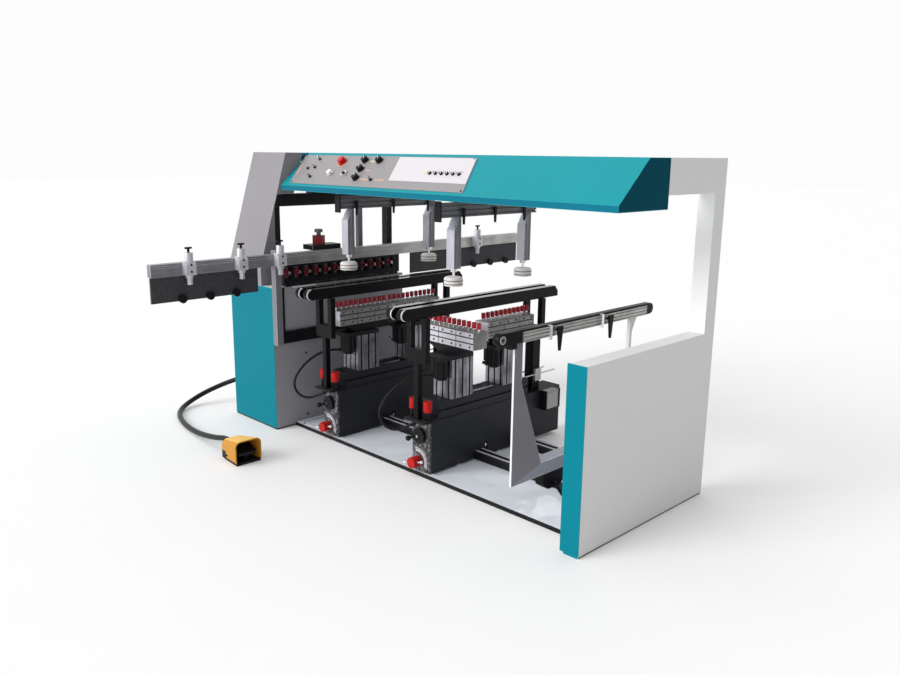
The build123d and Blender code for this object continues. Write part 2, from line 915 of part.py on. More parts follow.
def side_unit():
    """The side head that bores the panel's edge, its frame and bed, and the depth turret."""
    bed_top = cabinet_height + side_bed_thick
    leg_y = y_front + fence_post_width
    head_y = about(side_head_y, side_head_length)
    frame_x = (cabinet_right, cabinet_right + side_frame_thick)
    with BuildPart() as bed:
        block((cabinet_right - side_bed_back, side_head_face),
              about(side_head_y, side_head_length - 2 * side_bed_margin), (cabinet_height, bed_top))
    with BuildPart() as leg_frame:
        leg_bottom = cabinet_height - side_leg_drop
        rung_top = leg_bottom + side_rung_height
        outline = (
            (leg_y, leg_bottom),
            (y_rear - side_rung_gap, leg_bottom),
            (y_rear - side_rung_gap, rung_top),
            (leg_y + side_leg_width, rung_top),
            (leg_y + side_leg_width, cabinet_height),
            (leg_y, cabinet_height),
        )
        prism(at_x(frame_x[0]), outline, side_frame_thick)
    with BuildPart() as turret_plate:
        block(about(turret_x, turret_plate_x), (turret_y - turret_plate_front, turret_y + turret_plate_rear),
              (fence_top, fence_top + turret_plate_thick))
        rod(at_z(fence_top), (turret_x, turret_y), turret_spindle + run_gap, turret_plate_thick,
            mode=Mode.SUBTRACT)
    save("side_frame", bed, leg_frame, turret_plate)

    head_low = bed_top + touch_gap
    side_head_left = cabinet_right - side_head_back
    with BuildPart() as side_head:
        outline = (
            (side_head_left, head_low),
            (side_head_face, head_low),
            (side_head_face, head_low + side_head_height),
            (side_head_left + side_head_back_run, head_low + side_head_height),
            (side_head_left, head_low + side_head_back_height),
        )
        prism(at_y(head_y[1]), outline, side_head_length)
        with BuildSketch(at_x(side_head_face)):
            with Locations((side_row_y, side_row_z)):
                with GridLocations(side_pitch, 1, side_count, 1):
                    Rectangle(side_pocket_width, side_pocket_height)
        extrude(amount=-side_pocket_depth, mode=Mode.SUBTRACT)
    save("side_head", side_head)

    pocket_floor = side_head_face - side_pocket_depth
    with BuildPart() as side_chucks:
        with BuildSketch(at_x(pocket_floor)):
            with Locations((side_row_y, side_row_z)):
                with GridLocations(side_pitch, 1, side_count, 1):
                    Circle(side_collar_radius)
        extrude(amount=side_collar_length)
        with BuildSketch(at_x(pocket_floor + side_collar_length)):
            with Locations((side_row_y, side_row_z)):
                with GridLocations(side_pitch, 1, side_count, 1):
                    Circle(side_chuck_radius)
        extrude(amount=side_chuck_reach)
    save("side_chucks", side_chucks)

    turret_foot = fence_top + turret_plate_thick + touch_gap
    turret_top = turret_foot + turret_height
    with BuildPart() as depth_turret:
        with BuildSketch(at_z(turret_foot)):
            with Locations((turret_x, turret_y)):
                RegularPolygon(turret_radius, turret_sides)
        extrude(amount=turret_height)
        rod(at_z(turret_top), (turret_x, turret_y), turret_neck_radius, turret_knob_height)
        rod(at_z(turret_top + turret_knob_height), (turret_x, turret_y), turret_knob_radius,
            turret_knob_height)
        chamfer(depth_turret.edges().group_by(Axis.Z)[-1], turret_knob_rim)
        rod(at_z(turret_foot), (turret_x, turret_y), turret_spindle, -turret_plate_thick - touch_gap)
    save("depth_turret", depth_turret)


def carriage(number, row):
    """A carriage: an inverted channel that rides the rails, with front plate, bed and regulators."""
    half = carriage_width / 2
    inner = half - side_plate
    rail_ys = (rail_front_y, rail_rear_y)
    with BuildPart() as channel:
        prism(at_y(carriage_rear), (
            (row - half, carriage_bottom),
            (row - inner, carriage_bottom),
            (row - inner, carriage_top - top_plate),
            (row + inner, carriage_top - top_plate),
            (row + inner, carriage_bottom),
            (row + half, carriage_bottom),
            (row + half, carriage_top),
            (row - half, carriage_top),
        ), carriage_rear - carriage_front)
        block((row - half, row + half), (carriage_rear - side_plate, carriage_rear),
              (carriage_bottom, carriage_top))
        for y in rail_ys:
            block((row - half, row + half), about(y, notch_width), (carriage_bottom, notch_top),
                  mode=Mode.SUBTRACT)
    with BuildPart() as plate:
        prism(at_y(carriage_front), (
            (row - half, carriage_bottom),
            (row + half, carriage_bottom),
            (row + half, carriage_top),
            (row - half, carriage_top),
        ), front_plate)
        fillet(plate.edges().filter_by(Axis.Y).group_by(Axis.Z)[-1], front_plate_round)
        rod(at_y(carriage_front), (row, wheel_z), wheel_shaft / 2 + run_gap, front_plate, mode=Mode.SUBTRACT)
        rod(at_y(carriage_front), (row + lock_x, lock_z), lock_shaft / 2 + run_gap, front_plate,
            mode=Mode.SUBTRACT)
        socket = Vector(row + hose_end_x, carriage_front - front_plate, hose_end_z)
        rod(Plane(origin=socket, z_dir=hose_end_way), (0, 0), elbow_radius * 2 / 3, elbow_reach)
        rod(Plane(origin=socket, z_dir=hose_end_way), (0, 0), elbow_radius * 2 / 3, -front_plate / 2)
    with BuildPart() as shelf:
        block(about(row, shelf_width), (shelf_front, shelf_rear), (carriage_top, shelf_top))
    with BuildPart() as bearings:
        for y in rail_ys:
            block((row - inner, row + inner), about(y, bearing_length),
                  (rail_top + touch_gap, rail_top + touch_gap + bearing_height))
    with BuildPart() as bed:
        with BuildSketch(at_y(drill_bed_rear)):
            with Locations((row, carriage_top + drill_bed_height / 2)):
                Rectangle(drill_bed_width, drill_bed_height)
                with Locations((-drill_bed_width / 2, 0), (drill_bed_width / 2, 0)):
                    Rectangle(2 * bed_slot_depth, bed_slot_width, mode=Mode.SUBTRACT)
        extrude(amount=drill_bed_rear - drill_bed_front)
    with BuildPart() as regulators:
        for x in (row - regulator_x, row + regulator_x):
            rod(at_z(shelf_top), (x, regulator_y), regulator_base_radius, regulator_base_height)
            rod(at_z(shelf_top + regulator_base_height), (x, regulator_y), regulator_knob_radius,
                regulator_knob_height)
    save(f"carriage_{number}", channel, plate, shelf, bearings, bed, regulators)


def carriage_controls(number, row):
    """The crank wheel that moves a carriage and the red knob that locks it."""
    plate_face = carriage_front - front_plate
    wheel_face = at_y(plate_face - touch_gap)
    crank = Vector(crank_reach, 0).rotate(Axis.Z, crank_angle)
    with BuildPart() as handwheel:
        rod(wheel_face, (row, wheel_z), wheel_radius, wheel_thick)
        rod(wheel_face, (row, wheel_z), wheel_shaft / 2, -(front_plate + touch_gap))
        with BuildSketch(at_y(plate_face - touch_gap - wheel_thick)) as arm:
            with Locations((row + crank.X / 2, wheel_z + crank.Y / 2)):
                SlotCenterToCenter(crank_reach, 2 * grip_radius, rotation=crank_angle)
        extrude(arm.sketch, amount=2 * crank_rod)
        arm_face = plate_face - touch_gap - wheel_thick - 2 * crank_rod
        rod(at_y(arm_face), (row + crank.X, wheel_z + crank.Y), grip_radius, grip_length)
        with Locations((row + crank.X, arm_face - grip_length, wheel_z + crank.Y)):
            Sphere(grip_ball)
    save(f"handwheel_{number}", handwheel)

    knob_at = (row + lock_x, lock_z)
    with BuildPart() as lock_knob:
        rod(wheel_face, knob_at, lock_radius, lock_length)
        rod(wheel_face, knob_at, lock_shaft / 2, -(front_plate + touch_gap))
        middle = Vector(row + lock_x, plate_face - lock_length * 2 / 3, lock_z)
        along = Vector(1, 0, 0).rotate(Axis.Y, -lock_bar_angle)
        with BuildSketch(Plane(origin=middle, x_dir=along, z_dir=(0, -1, 0))) as bar_half:
            Rectangle(2 * lock_bar_reach, 2 * lock_bar_radius)
            with Locations((-lock_bar_reach, 0), (lock_bar_reach, 0)):
                Circle(lock_ball)
            Rectangle(4 * lock_bar_reach, 2 * lock_ball, align=(Align.CENTER, Align.MAX), mode=Mode.SUBTRACT)
        revolve(bar_half.sketch, axis=Axis(middle, along))
    save(f"lock_knob_{number}", lock_knob)


def work_bars(number, row):
    """Two bars that carry the panel, rounded at the front, on a two-pronged fork near each end."""
    pieces = []
    nose = bar_height / 2
    for x in (row - bar_offset, row + bar_offset):
        with BuildPart() as bar:
            with BuildSketch(at_x(x - bar_width / 2)):
                with BuildLine():
                    Polyline((bar_front + nose, bar_top), (bar_rear - bar_rear_cut, bar_top),
                             (bar_rear, bar_bottom + nose), (bar_rear, bar_bottom),
                             (bar_front + nose, bar_bottom))
                    ThreePointArc((bar_front + nose, bar_bottom), (bar_front, bar_bottom + nose),
                                  (bar_front + nose, bar_top))
                make_face()
            extrude(amount=bar_width)
        pieces.append(bar)
    bridge_top = fork_bridge_bottom + fork_bridge_height
    forks = ((fork_front_y, fork_front_stem, shelf_top), (fork_rear_y, fork_rear_stem, carriage_top))
    for y, stem, foot in forks:
        with BuildPart() as fork:
            block(about(row, stem), about(y, stem), (foot, fork_bridge_bottom))
            block(about(row, 2 * fork_prong_offset + fork_prong), about(y, fork_prong),
                  (fork_bridge_bottom, bridge_top))
            for side in (-1, 1):
                block(about(row + side * fork_prong_offset, fork_prong), about(y, fork_prong),
                      (bridge_top, bar_bottom))
        pieces.append(fork)
    save(f"work_bars_{number}", *pieces)


def lift_columns(number, row):
    """Two extruded columns on the bed, bored for the lift rods, each with an air ram on its front."""
    pieces = []
    with BuildPart() as columns:
        for y in heads.values():
            with BuildSketch(at_z(drill_bed_top)) as section:
                with Locations((row, y)):
                    Rectangle(column_x, column_y)
                    for side in (-1, 1):
                        with Locations((side * column_x / 2, 0)):
                            with GridLocations(1, column_y / 3, 1, 3):
                                Rectangle(2 * column_slot_depth, column_slot, mode=Mode.SUBTRACT)
                        with Locations((0, side * column_y / 2)):
                            with GridLocations(column_x / 3, 1, 3, 1):
                                Rectangle(column_slot, 2 * column_slot_depth, mode=Mode.SUBTRACT)
            extrude(section.sketch, amount=column_top - drill_bed_top)
            for side in (-1, 1):
                rod(at_z(column_top), (row, y + side * lift_rod_spacing / 2), lift_rod_radius + run_gap,
                    -(lift_rod_length + touch_gap), mode=Mode.SUBTRACT)
    pieces.append(columns)
    for y in heads.values():
        ram_at = (row + ram_x, y - column_y / 2 - ram_width / 2)
        with BuildPart() as ram:
            block(about(ram_at[0], ram_width), about(ram_at[1], ram_width),
                  (ram_bottom, column_top - ram_gap))
            fillet(ram.edges().filter_by(Axis.Z).group_by(Axis.Y)[0], ram_round)
            rod(at_z(column_top - ram_gap), ram_at, ram_rod, ram_gap)
            rod(at_z(ram_bottom), ram_at, elbow_radius, -elbow_height)
            outlet = Plane(origin=(*ram_at, ram_bottom - elbow_height / 2), z_dir=hose_start_way)
            rod(outlet, (0, 0), elbow_radius * 2 / 3, elbow_reach)
        pieces.append(ram)
    save(f"lift_columns_{number}", *pieces)


def lift(number, row, place, y):
    """A lift: plate with two guide rods, and the spindle motor hung from its front."""
    motor_y = y - column_y / 2 - motor_gap - motor_radius
    with BuildPart() as plate:
        block(about(row, column_x), (motor_y - motor_radius, y + column_y / 2),
              (lift_plate_bottom, lift_plate_top))
        rod(at_z(lift_plate_bottom), (row, y), spigot_radius + run_gap, lift_plate_thick, mode=Mode.SUBTRACT)
        for side in (-1, 1):
            rod(at_z(lift_plate_bottom), (row, y + side * lift_rod_spacing / 2), lift_rod_radius,
                -lift_rod_length)
    with BuildPart() as motor:
        rod(at_z(lift_plate_bottom), (row + motor_x, motor_y), motor_radius, -motor_height)
        chamfer(motor.edges().group_by(Axis.Z)[0], motor_rim)
    save(f"lift_{place}_{number}", plate, motor)


def head(number, row, place, y):
    """A boring head: gear case with rounded ends, a tapered foot with spigot, and its chucks."""
    along = (1, 0, 0) if (number, place) in turned_heads else (0, 1, 0)

    def level(z):
        return Plane(origin=(row, y, z), x_dir=along, z_dir=(0, 0, 1))

    with BuildPart() as case:
        with BuildSketch(level(head_bottom)):
            Rectangle(head_length, head_width)
            Circle(head_length / 2, mode=Mode.INTERSECT)
        extrude(amount=head_height)
        for z in (head_bottom + head_height / 3, head_bottom + 2 * head_height / 3):
            with BuildSketch(level(z)):
                with Locations((0, head_width / 2), (0, -head_width / 2)):
                    Rectangle(head_length, 2 * head_groove)
            extrude(amount=head_groove_height, mode=Mode.SUBTRACT)
    with BuildPart() as foot:
        with BuildSketch(level(foot_bottom)):
            Rectangle(foot_low_length, foot_width)
        with BuildSketch(level(head_bottom)):
            Rectangle(foot_top_length, foot_width)
        loft()
        with BuildSketch(level(foot_bottom)):
            Circle(spigot_radius)
        extrude(amount=-spigot_length)
    save(f"head_{place}_{number}", case, foot)

    with BuildPart() as chucks:
        with BuildSketch(level(head_top)):
            with GridLocations(spindle_pitch, 1, spindle_count, 1):
                Circle(chuck_neck_radius)
        extrude(amount=chuck_neck_height)
        with BuildSketch(level(head_top + chuck_neck_height)):
            with GridLocations(spindle_pitch, 1, spindle_count, 1):
                Circle(chuck_radius)
        extrude(amount=chuck_height)
    save(f"chucks_{place}_{number}", chucks)


def drive_motor(number, row):
    """The finned motor on the rear flank of a carriage, between end plates, and its valve on the fork."""
    start = row + carriage_width / 2
    drive_rear = drive_y + drive_length
    fin_pitch = (drive_length - 2 * drive_end) / drive_fins
    with BuildPart() as motor:
        block((start, start + drive_out), (drive_y + drive_end, drive_rear - drive_end),
              (drive_bottom, drive_bottom + drive_height))
        with BuildSketch(at_z(drive_bottom + drive_height)) as gaps:
            with Locations((start + drive_out / 2, drive_y + drive_length / 2)):
                with GridLocations(1, fin_pitch, 1, drive_fins - 1):
                    Rectangle(drive_out, drive_fin)
        extrude(gaps.sketch, amount=-2 * drive_fin, mode=Mode.SUBTRACT)
    with BuildPart() as ends:
        for y in ((drive_y, drive_y + drive_end), (drive_rear - drive_end, drive_rear)):
            block((start, start + drive_out + drive_end_rim), y,
                  (drive_bottom - drive_end_rim, drive_bottom + drive_height + drive_end_rim))
    valve_x = row + fork_rear_stem / 2
    with BuildPart() as valve:
        block((valve_x, valve_x + valve_out), about(fork_rear_y, valve_width),
              (valve_bottom, valve_bottom + valve_height))
    save(f"drive_motor_{number}", motor, ends, valve)


def tube(points, radius, label):
    """A hose along straight runs joined by arcs as large as the runs allow."""
    route = [Vector(*p) for p in points]
    radii = []
    for before, corner, after in zip(route, route[1:], route[2:]):
        turn = (corner - before).get_angle(after - corner)
        shorter = min((corner - before).length, (after - corner).length)
        radii.append(0.45 * shorter / tan(radians(turn) / 2))
    print(label, "bend radii", [round(r) for r in radii])
    with BuildPart() as hose:
        with BuildLine() as path:
            FilletPolyline(*route, radius=radii)
        with BuildSketch(Plane(origin=route[0], z_dir=route[1] - route[0])):
            Circle(radius)
        sweep()
    length = sum(e.length for e in path.edges())
    ratio = hose.part.volume / (length * pi * radius**2)
    print(label, "length", round(length), "volume over section times length", round(ratio, 4))
    save(label, hose)


def air_hose(number, row):
    """The hose that loops out from the front ram's elbow and back to the front plate."""
    start = Vector(row + ram_x, head_front_y - column_y / 2 - ram_width / 2, ram_bottom - elbow_height / 2)
    end = Vector(row + hose_end_x, carriage_front - front_plate, hose_end_z)
    out = start + Vector(*hose_start_way).normalized() * elbow_reach
    back = end + Vector(*hose_end_way).normalized() * elbow_reach
    tube((
        out,
        out + Vector(*hose_start_way).normalized() * hose_lead_out,
        (row - 113, head_front_y - 172, 446),
        (row - 144, head_front_y - 224, 414),
        (row - 164, head_front_y - 272, 368),
        (row - 174, head_front_y - 310, 313),
        (row - 167, head_front_y - 317, 265),
        (row - 145, head_front_y - 302, 227),
        (row - 112, head_front_y - 272, 211),
        back + Vector(*hose_end_way).normalized() * hose_lead_in,
        back,
    ), air_hose_radius, f"air_hose_{number}")


def tapered_lever(top, width, tip, length):
    """A flat clamp lever that hangs from its pin, narrows downwards and faces +X."""
    x, y, z = top
    prism(at_x(x), (
        (y - width / 2, z + width / 2),
        (y + width / 2, z + width / 2),
        (y + tip / 2, z - length),
        (y - tip / 2, z - length),
    ), lever_thick)


def pressers(number, row, ys):
    """An overhead beam on its trolley, with two press cylinders and their pads."""
    beam_x = about(row, presser_beam_width)
    trolley_y = (overhead_front, overhead_rear)
    beam_middle = presser_beam_bottom + presser_beam_height / 2
    with BuildPart() as beam:
        with BuildSketch(at_y(presser_beam_rear)):
            with Locations((row, beam_middle)):
                Rectangle(presser_beam_width, presser_beam_height)
                for side in (-1, 1):
                    with Locations((side * presser_beam_width / 2, 0)):
                        with GridLocations(1, presser_beam_height / 3, 1, 3):
                            Rectangle(2 * presser_slot, presser_slot, mode=Mode.SUBTRACT)
        extrude(amount=presser_beam_rear - presser_beam_front)
    with BuildPart() as trolley:
        block(about(row, trolley_width), trolley_y, (presser_beam_top, trolley_top))
    with BuildPart() as end_plate:
        block(beam_x, (presser_beam_front - end_plate_thick, presser_beam_front),
              (presser_beam_bottom - end_plate_drop, presser_beam_top + end_plate_drop / 2))
    save(f"presser_beam_{number}", beam, trolley, end_plate)

    pieces = []
    half = cylinder_depth / 2
    cylinder_height = presser_beam_bottom - cylinder_bottom
    rod_top = cylinder_bottom + presser_stroke + presser_rod_share * cylinder_height
    for y in ys:
        with BuildPart() as cylinder:
            prism(at_x(row - cylinder_width / 2), (
                (y - half, cylinder_bottom),
                (y + half, cylinder_bottom),
                (y + half, presser_beam_bottom),
                (y - half + cylinder_slope, presser_beam_bottom),
                (y - half, presser_beam_bottom - cylinder_height / 4),
            ), cylinder_width)
            with BuildSketch(at_z(cylinder_bottom)) as grooves:
                with Locations((row + cylinder_width / 2, y), (row - cylinder_width / 2, y)):
                    with GridLocations(1, half, 1, 2):
                        Rectangle(2 * cylinder_groove, cylinder_groove)
            extrude(grooves.sketch, amount=cylinder_height, mode=Mode.SUBTRACT)
            rod(at_z(cylinder_bottom), (row, y), cylinder_foot_radius, -cylinder_foot_height)
            rod(at_z(cylinder_bottom - cylinder_foot_height), (row, y), presser_rod_radius + run_gap,
                rod_top - cylinder_bottom + cylinder_foot_height + touch_gap, mode=Mode.SUBTRACT)
        pieces.append(cylinder)
    lever_x = row + presser_beam_width / 2
    for y in (ys[0] + lever_y, sum(ys) / 2, ys[1] - lever_y):
        with BuildPart() as lever:
            rod(at_x(lever_x - presser_slot), (y, beam_middle), presser_slot / 2, presser_slot + lever_pin)
            tapered_lever((lever_x + lever_pin, y, beam_middle), lever_width, lever_tip, lever_length)
        pieces.append(lever)
    save(f"presser_cylinders_{number}", *pieces)

    with BuildPart() as pads:
        for y in ys:
            rod(at_z(pad_bottom), (row, y), pad_radius, pad_height)
            rod(at_z(pad_bottom + pad_height), (row, y), presser_rod_radius,
                rod_top - pad_bottom - pad_height)
        rims = pads.edges().filter_by(GeomType.CIRCLE).filter_by(lambda e: e.radius == pad_radius)
        chamfer(rims.group_by(Axis.Z)[-1], pad_waist / 2)
    save(f"presser_pads_{number}", pads)


def third_support():
    """The bar at the right: an extruded rail on a gusset and a stay, which slides along the rails."""
    foot_top = gusset_bottom + foot_beam_height
    foot_front = gusset_front + gusset_foot_depth
    gusset_rear = gusset_front + gusset_top_depth
    stay_y_span = about(rear_stay_y, rear_stay)
    foot_right = support_x + gusset_thick / 2
    foot_x = (foot_right - foot_beam_width, foot_right)
    with BuildPart() as support_stand:
        prism(at_x(support_x - gusset_thick / 2), (
            (gusset_front, gusset_bottom),
            (foot_front, gusset_bottom),
            (foot_front, foot_top),
            (gusset_rear, gusset_bend),
            (gusset_rear, support_rail_bottom),
            (gusset_front, support_rail_bottom),
        ), gusset_thick)
        block(foot_x, (foot_front, foot_beam_rear), (gusset_bottom, foot_top))
        block((foot_x[0] + foot_wall, foot_x[1] - foot_wall), (foot_front + foot_wall, foot_beam_rear),
              (gusset_bottom + foot_wall, foot_top - foot_wall), mode=Mode.SUBTRACT)
        for y in (rail_front_y, rail_rear_y):
            block(foot_x, about(y, bearing_length), (rail_top + touch_gap, gusset_bottom))
        prism(at_x(support_x - rear_stay / 2), (
            (stay_y_span[0], foot_top),
            (stay_y_span[1], foot_top),
            (stay_y_span[1], support_rail_bottom - 2 * stay_flare),
            (stay_y_span[1] + stay_flare, support_rail_bottom),
            (stay_y_span[0], support_rail_bottom),
        ), rear_stay)
    save("support_stand", support_stand)

    side_x = support_x + support_rail_width / 2
    with BuildPart() as rail:
        with BuildSketch(at_y(support_rail_rear)):
            with Locations((support_x, support_rail_bottom + support_rail_height / 2)):
                Rectangle(support_rail_width, support_rail_height)
                for side in (-1, 1):
                    with Locations((side * support_rail_width / 2, 0)):
                        with GridLocations(1, support_rail_height / 3, 1, 3):
                            Rectangle(2 * support_groove, support_groove, mode=Mode.SUBTRACT)
        extrude(amount=support_rail_rear - support_rail_front)
    with BuildPart() as clamps:
        for y in clamp_ys:
            block((side_x, side_x + clamp_thick), about(y, clamp_length),
                  (support_rail_bottom - clamp_thick / 2, bar_top))
    save("support_rail", rail, clamps)

    nose = (bar_top - support_rail_bottom) / 2
    front_end = support_strip_front + nose
    rear_end = support_strip_rear - nose
    nose_z = bar_top - nose
    strip_x = about(support_x, support_strip_width)
    with BuildPart() as strip:
        with BuildSketch(at_x(strip_x[0])):
            with BuildLine():
                Polyline((front_end, bar_top), (rear_end, bar_top))
                ThreePointArc((rear_end, bar_top), (rear_end + nose, nose_z),
                              (rear_end, support_rail_bottom))
                Polyline((rear_end, support_rail_bottom), (support_rail_rear, support_rail_bottom),
                         (support_rail_rear, support_rail_top), (support_rail_front, support_rail_top),
                         (support_rail_front, support_rail_bottom), (front_end, support_rail_bottom))
                ThreePointArc((front_end, support_rail_bottom), (front_end - nose, nose_z),
                              (front_end, bar_top))
            make_face()
        extrude(amount=support_strip_width)
        block(strip_x, (gusset_front - bracket_length, gusset_front),
              (support_rail_bottom - bracket_drop, support_rail_bottom))
        rod(at_x(strip_x[1]), (front_end, nose_z), ring_radius, ring_out)
    with BuildPart() as levers:
        for y in clamp_ys:
            lever_z = support_rail_top - clamp_lever_top / 2
            block((side_x, side_x + clamp_thick), about(y + clamp_lever_y, clamp_lever_tip),
                  about(lever_z, clamp_lever_tip))
            tapered_lever((side_x + clamp_thick, y + clamp_lever_y, lever_z), clamp_lever_top,
                          clamp_lever_tip, clamp_lever_length)
    with BuildPart() as brake:
        brake_low = gusset_bottom - brake_height
        prism(at_x(foot_right - brake_width), (
            (brake_y - brake_length / 2, gusset_bottom),
            (brake_y + brake_length / 2, gusset_bottom),
            (brake_y + brake_length / 2, brake_low),
            (brake_y + brake_length / 4, brake_low - brake_height / 2),
            (brake_y - brake_length / 4, brake_low - brake_height / 2),
            (brake_y - brake_length / 2, brake_low),
        ), brake_width)
        rod(Plane(origin=(foot_right, brake_y, brake_low), z_dir=(1, 0, -1)), (0, 0),
            brake_lever_radius, brake_lever_length)
    save("support_strip", strip, levers, brake)


def pedal_section(x, width, height, foot, corner):
    """A cross-section of the pedal's guard: straight walls under a rounded top."""
    with BuildSketch(at_x(x)) as section:
        with Locations((pedal_y, foot)):
            Rectangle(width, height - foot, align=(Align.CENTER, Align.MIN))
        fillet(section.vertices().group_by(Axis.Z)[-1], corner)
    return section.sketch


def pedal():
    """The foot pedal: a bent guard that narrows to the rear, a base, a sprung treadle and the hose."""
    wall = pedal_wall
    pivot_x = pedal_left + treadle_pivot_x
    rear_half = pedal_rear_width / 2
    half = pedal_width / 2
    with BuildPart() as guard:
        loft([
            pedal_section(pedal_left, pedal_rear_width, pedal_rear_height, 0, pedal_round),
            pedal_section(pedal_right, pedal_width, pedal_height, 0, pedal_round),
        ])
        loft([
            pedal_section(pedal_left + wall, pedal_rear_width - 2 * wall, pedal_rear_height - wall, -wall,
                          pedal_round - wall),
            pedal_section(pedal_right, pedal_width - 2 * wall, pedal_height - wall, -wall,
                          pedal_round - wall),
        ], mode=Mode.SUBTRACT)
        block((pedal_left, pedal_left + pedal_notch_length), about(pedal_y, pedal_width),
              (0, pedal_notch_height), mode=Mode.SUBTRACT)
        rod(at_y(pedal_y + half), (pivot_x, treadle_pivot_z), treadle_pin_radius + run_gap, pedal_width,
            mode=Mode.SUBTRACT)
    with BuildPart() as base:
        prism(at_z(0), (
            (pedal_left + wall, pedal_y - rear_half + wall),
            (pedal_right, pedal_y - half + wall),
            (pedal_right, pedal_y + half - wall),
            (pedal_left + wall, pedal_y + rear_half - wall),
        ), pedal_base_thick)
        block((pedal_left - pedal_tail, pedal_left + pedal_notch_length / 2),
              about(pedal_y, pedal_rear_width - 4 * wall), (0, pedal_notch_height - touch_gap))
    with BuildPart() as gland:
        rod(at_x(pedal_left), (pedal_y, pedal_hose_z), gland_radius, -pedal_gland_length)
    save("pedal_guard", guard, base, gland)

    tread_width = pedal_rear_width - 2 * wall - 2 * treadle_side_gap
    with BuildPart() as pedal_treadle:
        prism(at_y(pedal_y + tread_width / 2), (
            (pivot_x - treadle_hub, treadle_pivot_z - treadle_hub),
            (pivot_x + treadle_hub, treadle_pivot_z - treadle_hub),
            (pivot_x + treadle_length, treadle_low),
            (pivot_x + treadle_length, treadle_tip),
            (pivot_x, treadle_high),
            (pivot_x - treadle_hub, treadle_high),
        ), tread_width)
        rod(at_y(pedal_y + half - wall / 2), (pivot_x, treadle_pivot_z), treadle_pin_radius,
            pedal_width - wall)
    save("pedal_treadle", pedal_treadle)


def floor_hose():
    """The hose from the cabinet's left flank to the pedal, swung out across the floor."""
    lie = hose_radius
    start_x = x_left - gland_length
    end_x = pedal_left - pedal_gland_length
    tube((
        (start_x, gland_y, gland_z),
        (start_x - 60, gland_y, gland_z),
        (start_x - 140, gland_y - 30, gland_z - 20),
        (start_x - 218, gland_y - 104, gland_z - 62),
        (start_x - 270, gland_y - 200, 62),
        (start_x - 264, gland_y - 300, 26),
        (start_x - 200, gland_y - 385, lie),
        (start_x - 96, gland_y - 445, lie + 1),
        (start_x + 34, gland_y - 486, lie),
        (start_x + 170, gland_y - 510, lie + 2),
        (start_x + 310, gland_y - 523, lie + 13),
        (end_x - 145, pedal_y - 1, 51),
        (end_x - 62, pedal_y, pedal_hose_z),
        (end_x, pedal_y, pedal_hose_z),
    ), hose_radius, "pedal_hose")


floor_frame()
floor_pan()
rails()
cabinet()
covers()
leaning_cover()
black_frame()
end_frame()
hood_shell()
controls()
fence()
fence_stops()
side_unit()
for number, row in rows.items():
    carriage(number, row)
    carriage_controls(number, row)
    work_bars(number, row)
    lift_columns(number, row)
    drive_motor(number, row)
    air_hose(number, row)
    for place, y in heads.items():
        lift(number, row, place, y)
        head(number, row, place, y)
for number in rows:
    pressers(number, pressers_x[number], pressers_y[number])
third_support()
pedal()
floor_hose()
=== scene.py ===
# %% [markdown]
# A panel boring machine stands on a workshop floor: a coloured hood and cabinet, two carriages with
# rows of drill chucks, and a long fence. Its rigid pieces come as a fixed frame of measured solids.
# This lesson gives them their finishes, softens their edges, lays the hoses, adds the small fittings
# and lights the room.

# %% The measured frame
import math

import bmesh
import bpy
from mathutils import Matrix, Vector


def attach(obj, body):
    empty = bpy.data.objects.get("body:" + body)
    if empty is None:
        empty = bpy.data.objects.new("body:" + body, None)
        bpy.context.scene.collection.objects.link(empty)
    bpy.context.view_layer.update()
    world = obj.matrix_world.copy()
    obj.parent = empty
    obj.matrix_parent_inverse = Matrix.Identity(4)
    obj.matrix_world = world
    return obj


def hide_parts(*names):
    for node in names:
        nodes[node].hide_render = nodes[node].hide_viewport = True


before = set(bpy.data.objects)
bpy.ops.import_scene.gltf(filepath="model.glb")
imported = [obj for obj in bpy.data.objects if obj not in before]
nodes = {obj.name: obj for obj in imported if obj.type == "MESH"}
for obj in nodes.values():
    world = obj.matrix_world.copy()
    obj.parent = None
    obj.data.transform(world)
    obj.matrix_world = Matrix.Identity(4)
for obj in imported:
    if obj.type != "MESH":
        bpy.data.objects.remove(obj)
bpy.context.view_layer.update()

# %% [markdown]
# The camera stands at the right front corner, a little above the hood, and looks down across the
# machine. It could be placed by eye, but its place and turn were worked out instead from edges whose
# real directions are known: the uprights, the hood and the fence. A plain perspective lens is enough,
# with no shift.

# %% Camera
camera_at = Vector((2.898, -2.793, 1.480))
camera_yaw = math.radians(45.374)
camera_pitch = math.radians(12.588)
camera_roll = math.radians(-0.663)
camera_lens = 33.12      # millimetres, as is the width of the film behind it
film_width = 36.0
far_limit = 200.0        # metres, past the end of the floor


def aim_camera():
    """Build the camera's three axes from its yaw, pitch and roll."""
    ahead = Vector((
        -math.sin(camera_yaw) * math.cos(camera_pitch),
        math.cos(camera_yaw) * math.cos(camera_pitch),
        -math.sin(camera_pitch),
    ))
    level = Vector((math.cos(camera_yaw), math.sin(camera_yaw), 0))
    down = ahead.cross(level)
    right = math.cos(camera_roll) * level + math.sin(camera_roll) * down
    up = math.sin(camera_roll) * level - math.cos(camera_roll) * down
    data = bpy.data.cameras.new("camera")
    data.lens = camera_lens
    data.sensor_width = film_width
    data.clip_end = far_limit
    camera = bpy.data.objects.new("camera", data)
    axes = Matrix((right, up, -ahead)).transposed().to_4x4()
    camera.matrix_world = Matrix.Translation(camera_at) @ axes
    bpy.context.scene.collection.objects.link(camera)
    bpy.context.scene.camera = camera
    return camera


print("camera:", aim_camera().name, "with a lens of", camera_lens, "mm")

# %% [markdown]
# Every finish below starts from a colour as a paint chart gives it. Blender's shaders want linear
# light, so one helper turns a six-figure colour code into the numbers that a socket takes. The numbers
# could be typed in directly, but a code is easier to read and to compare with a paint chart.

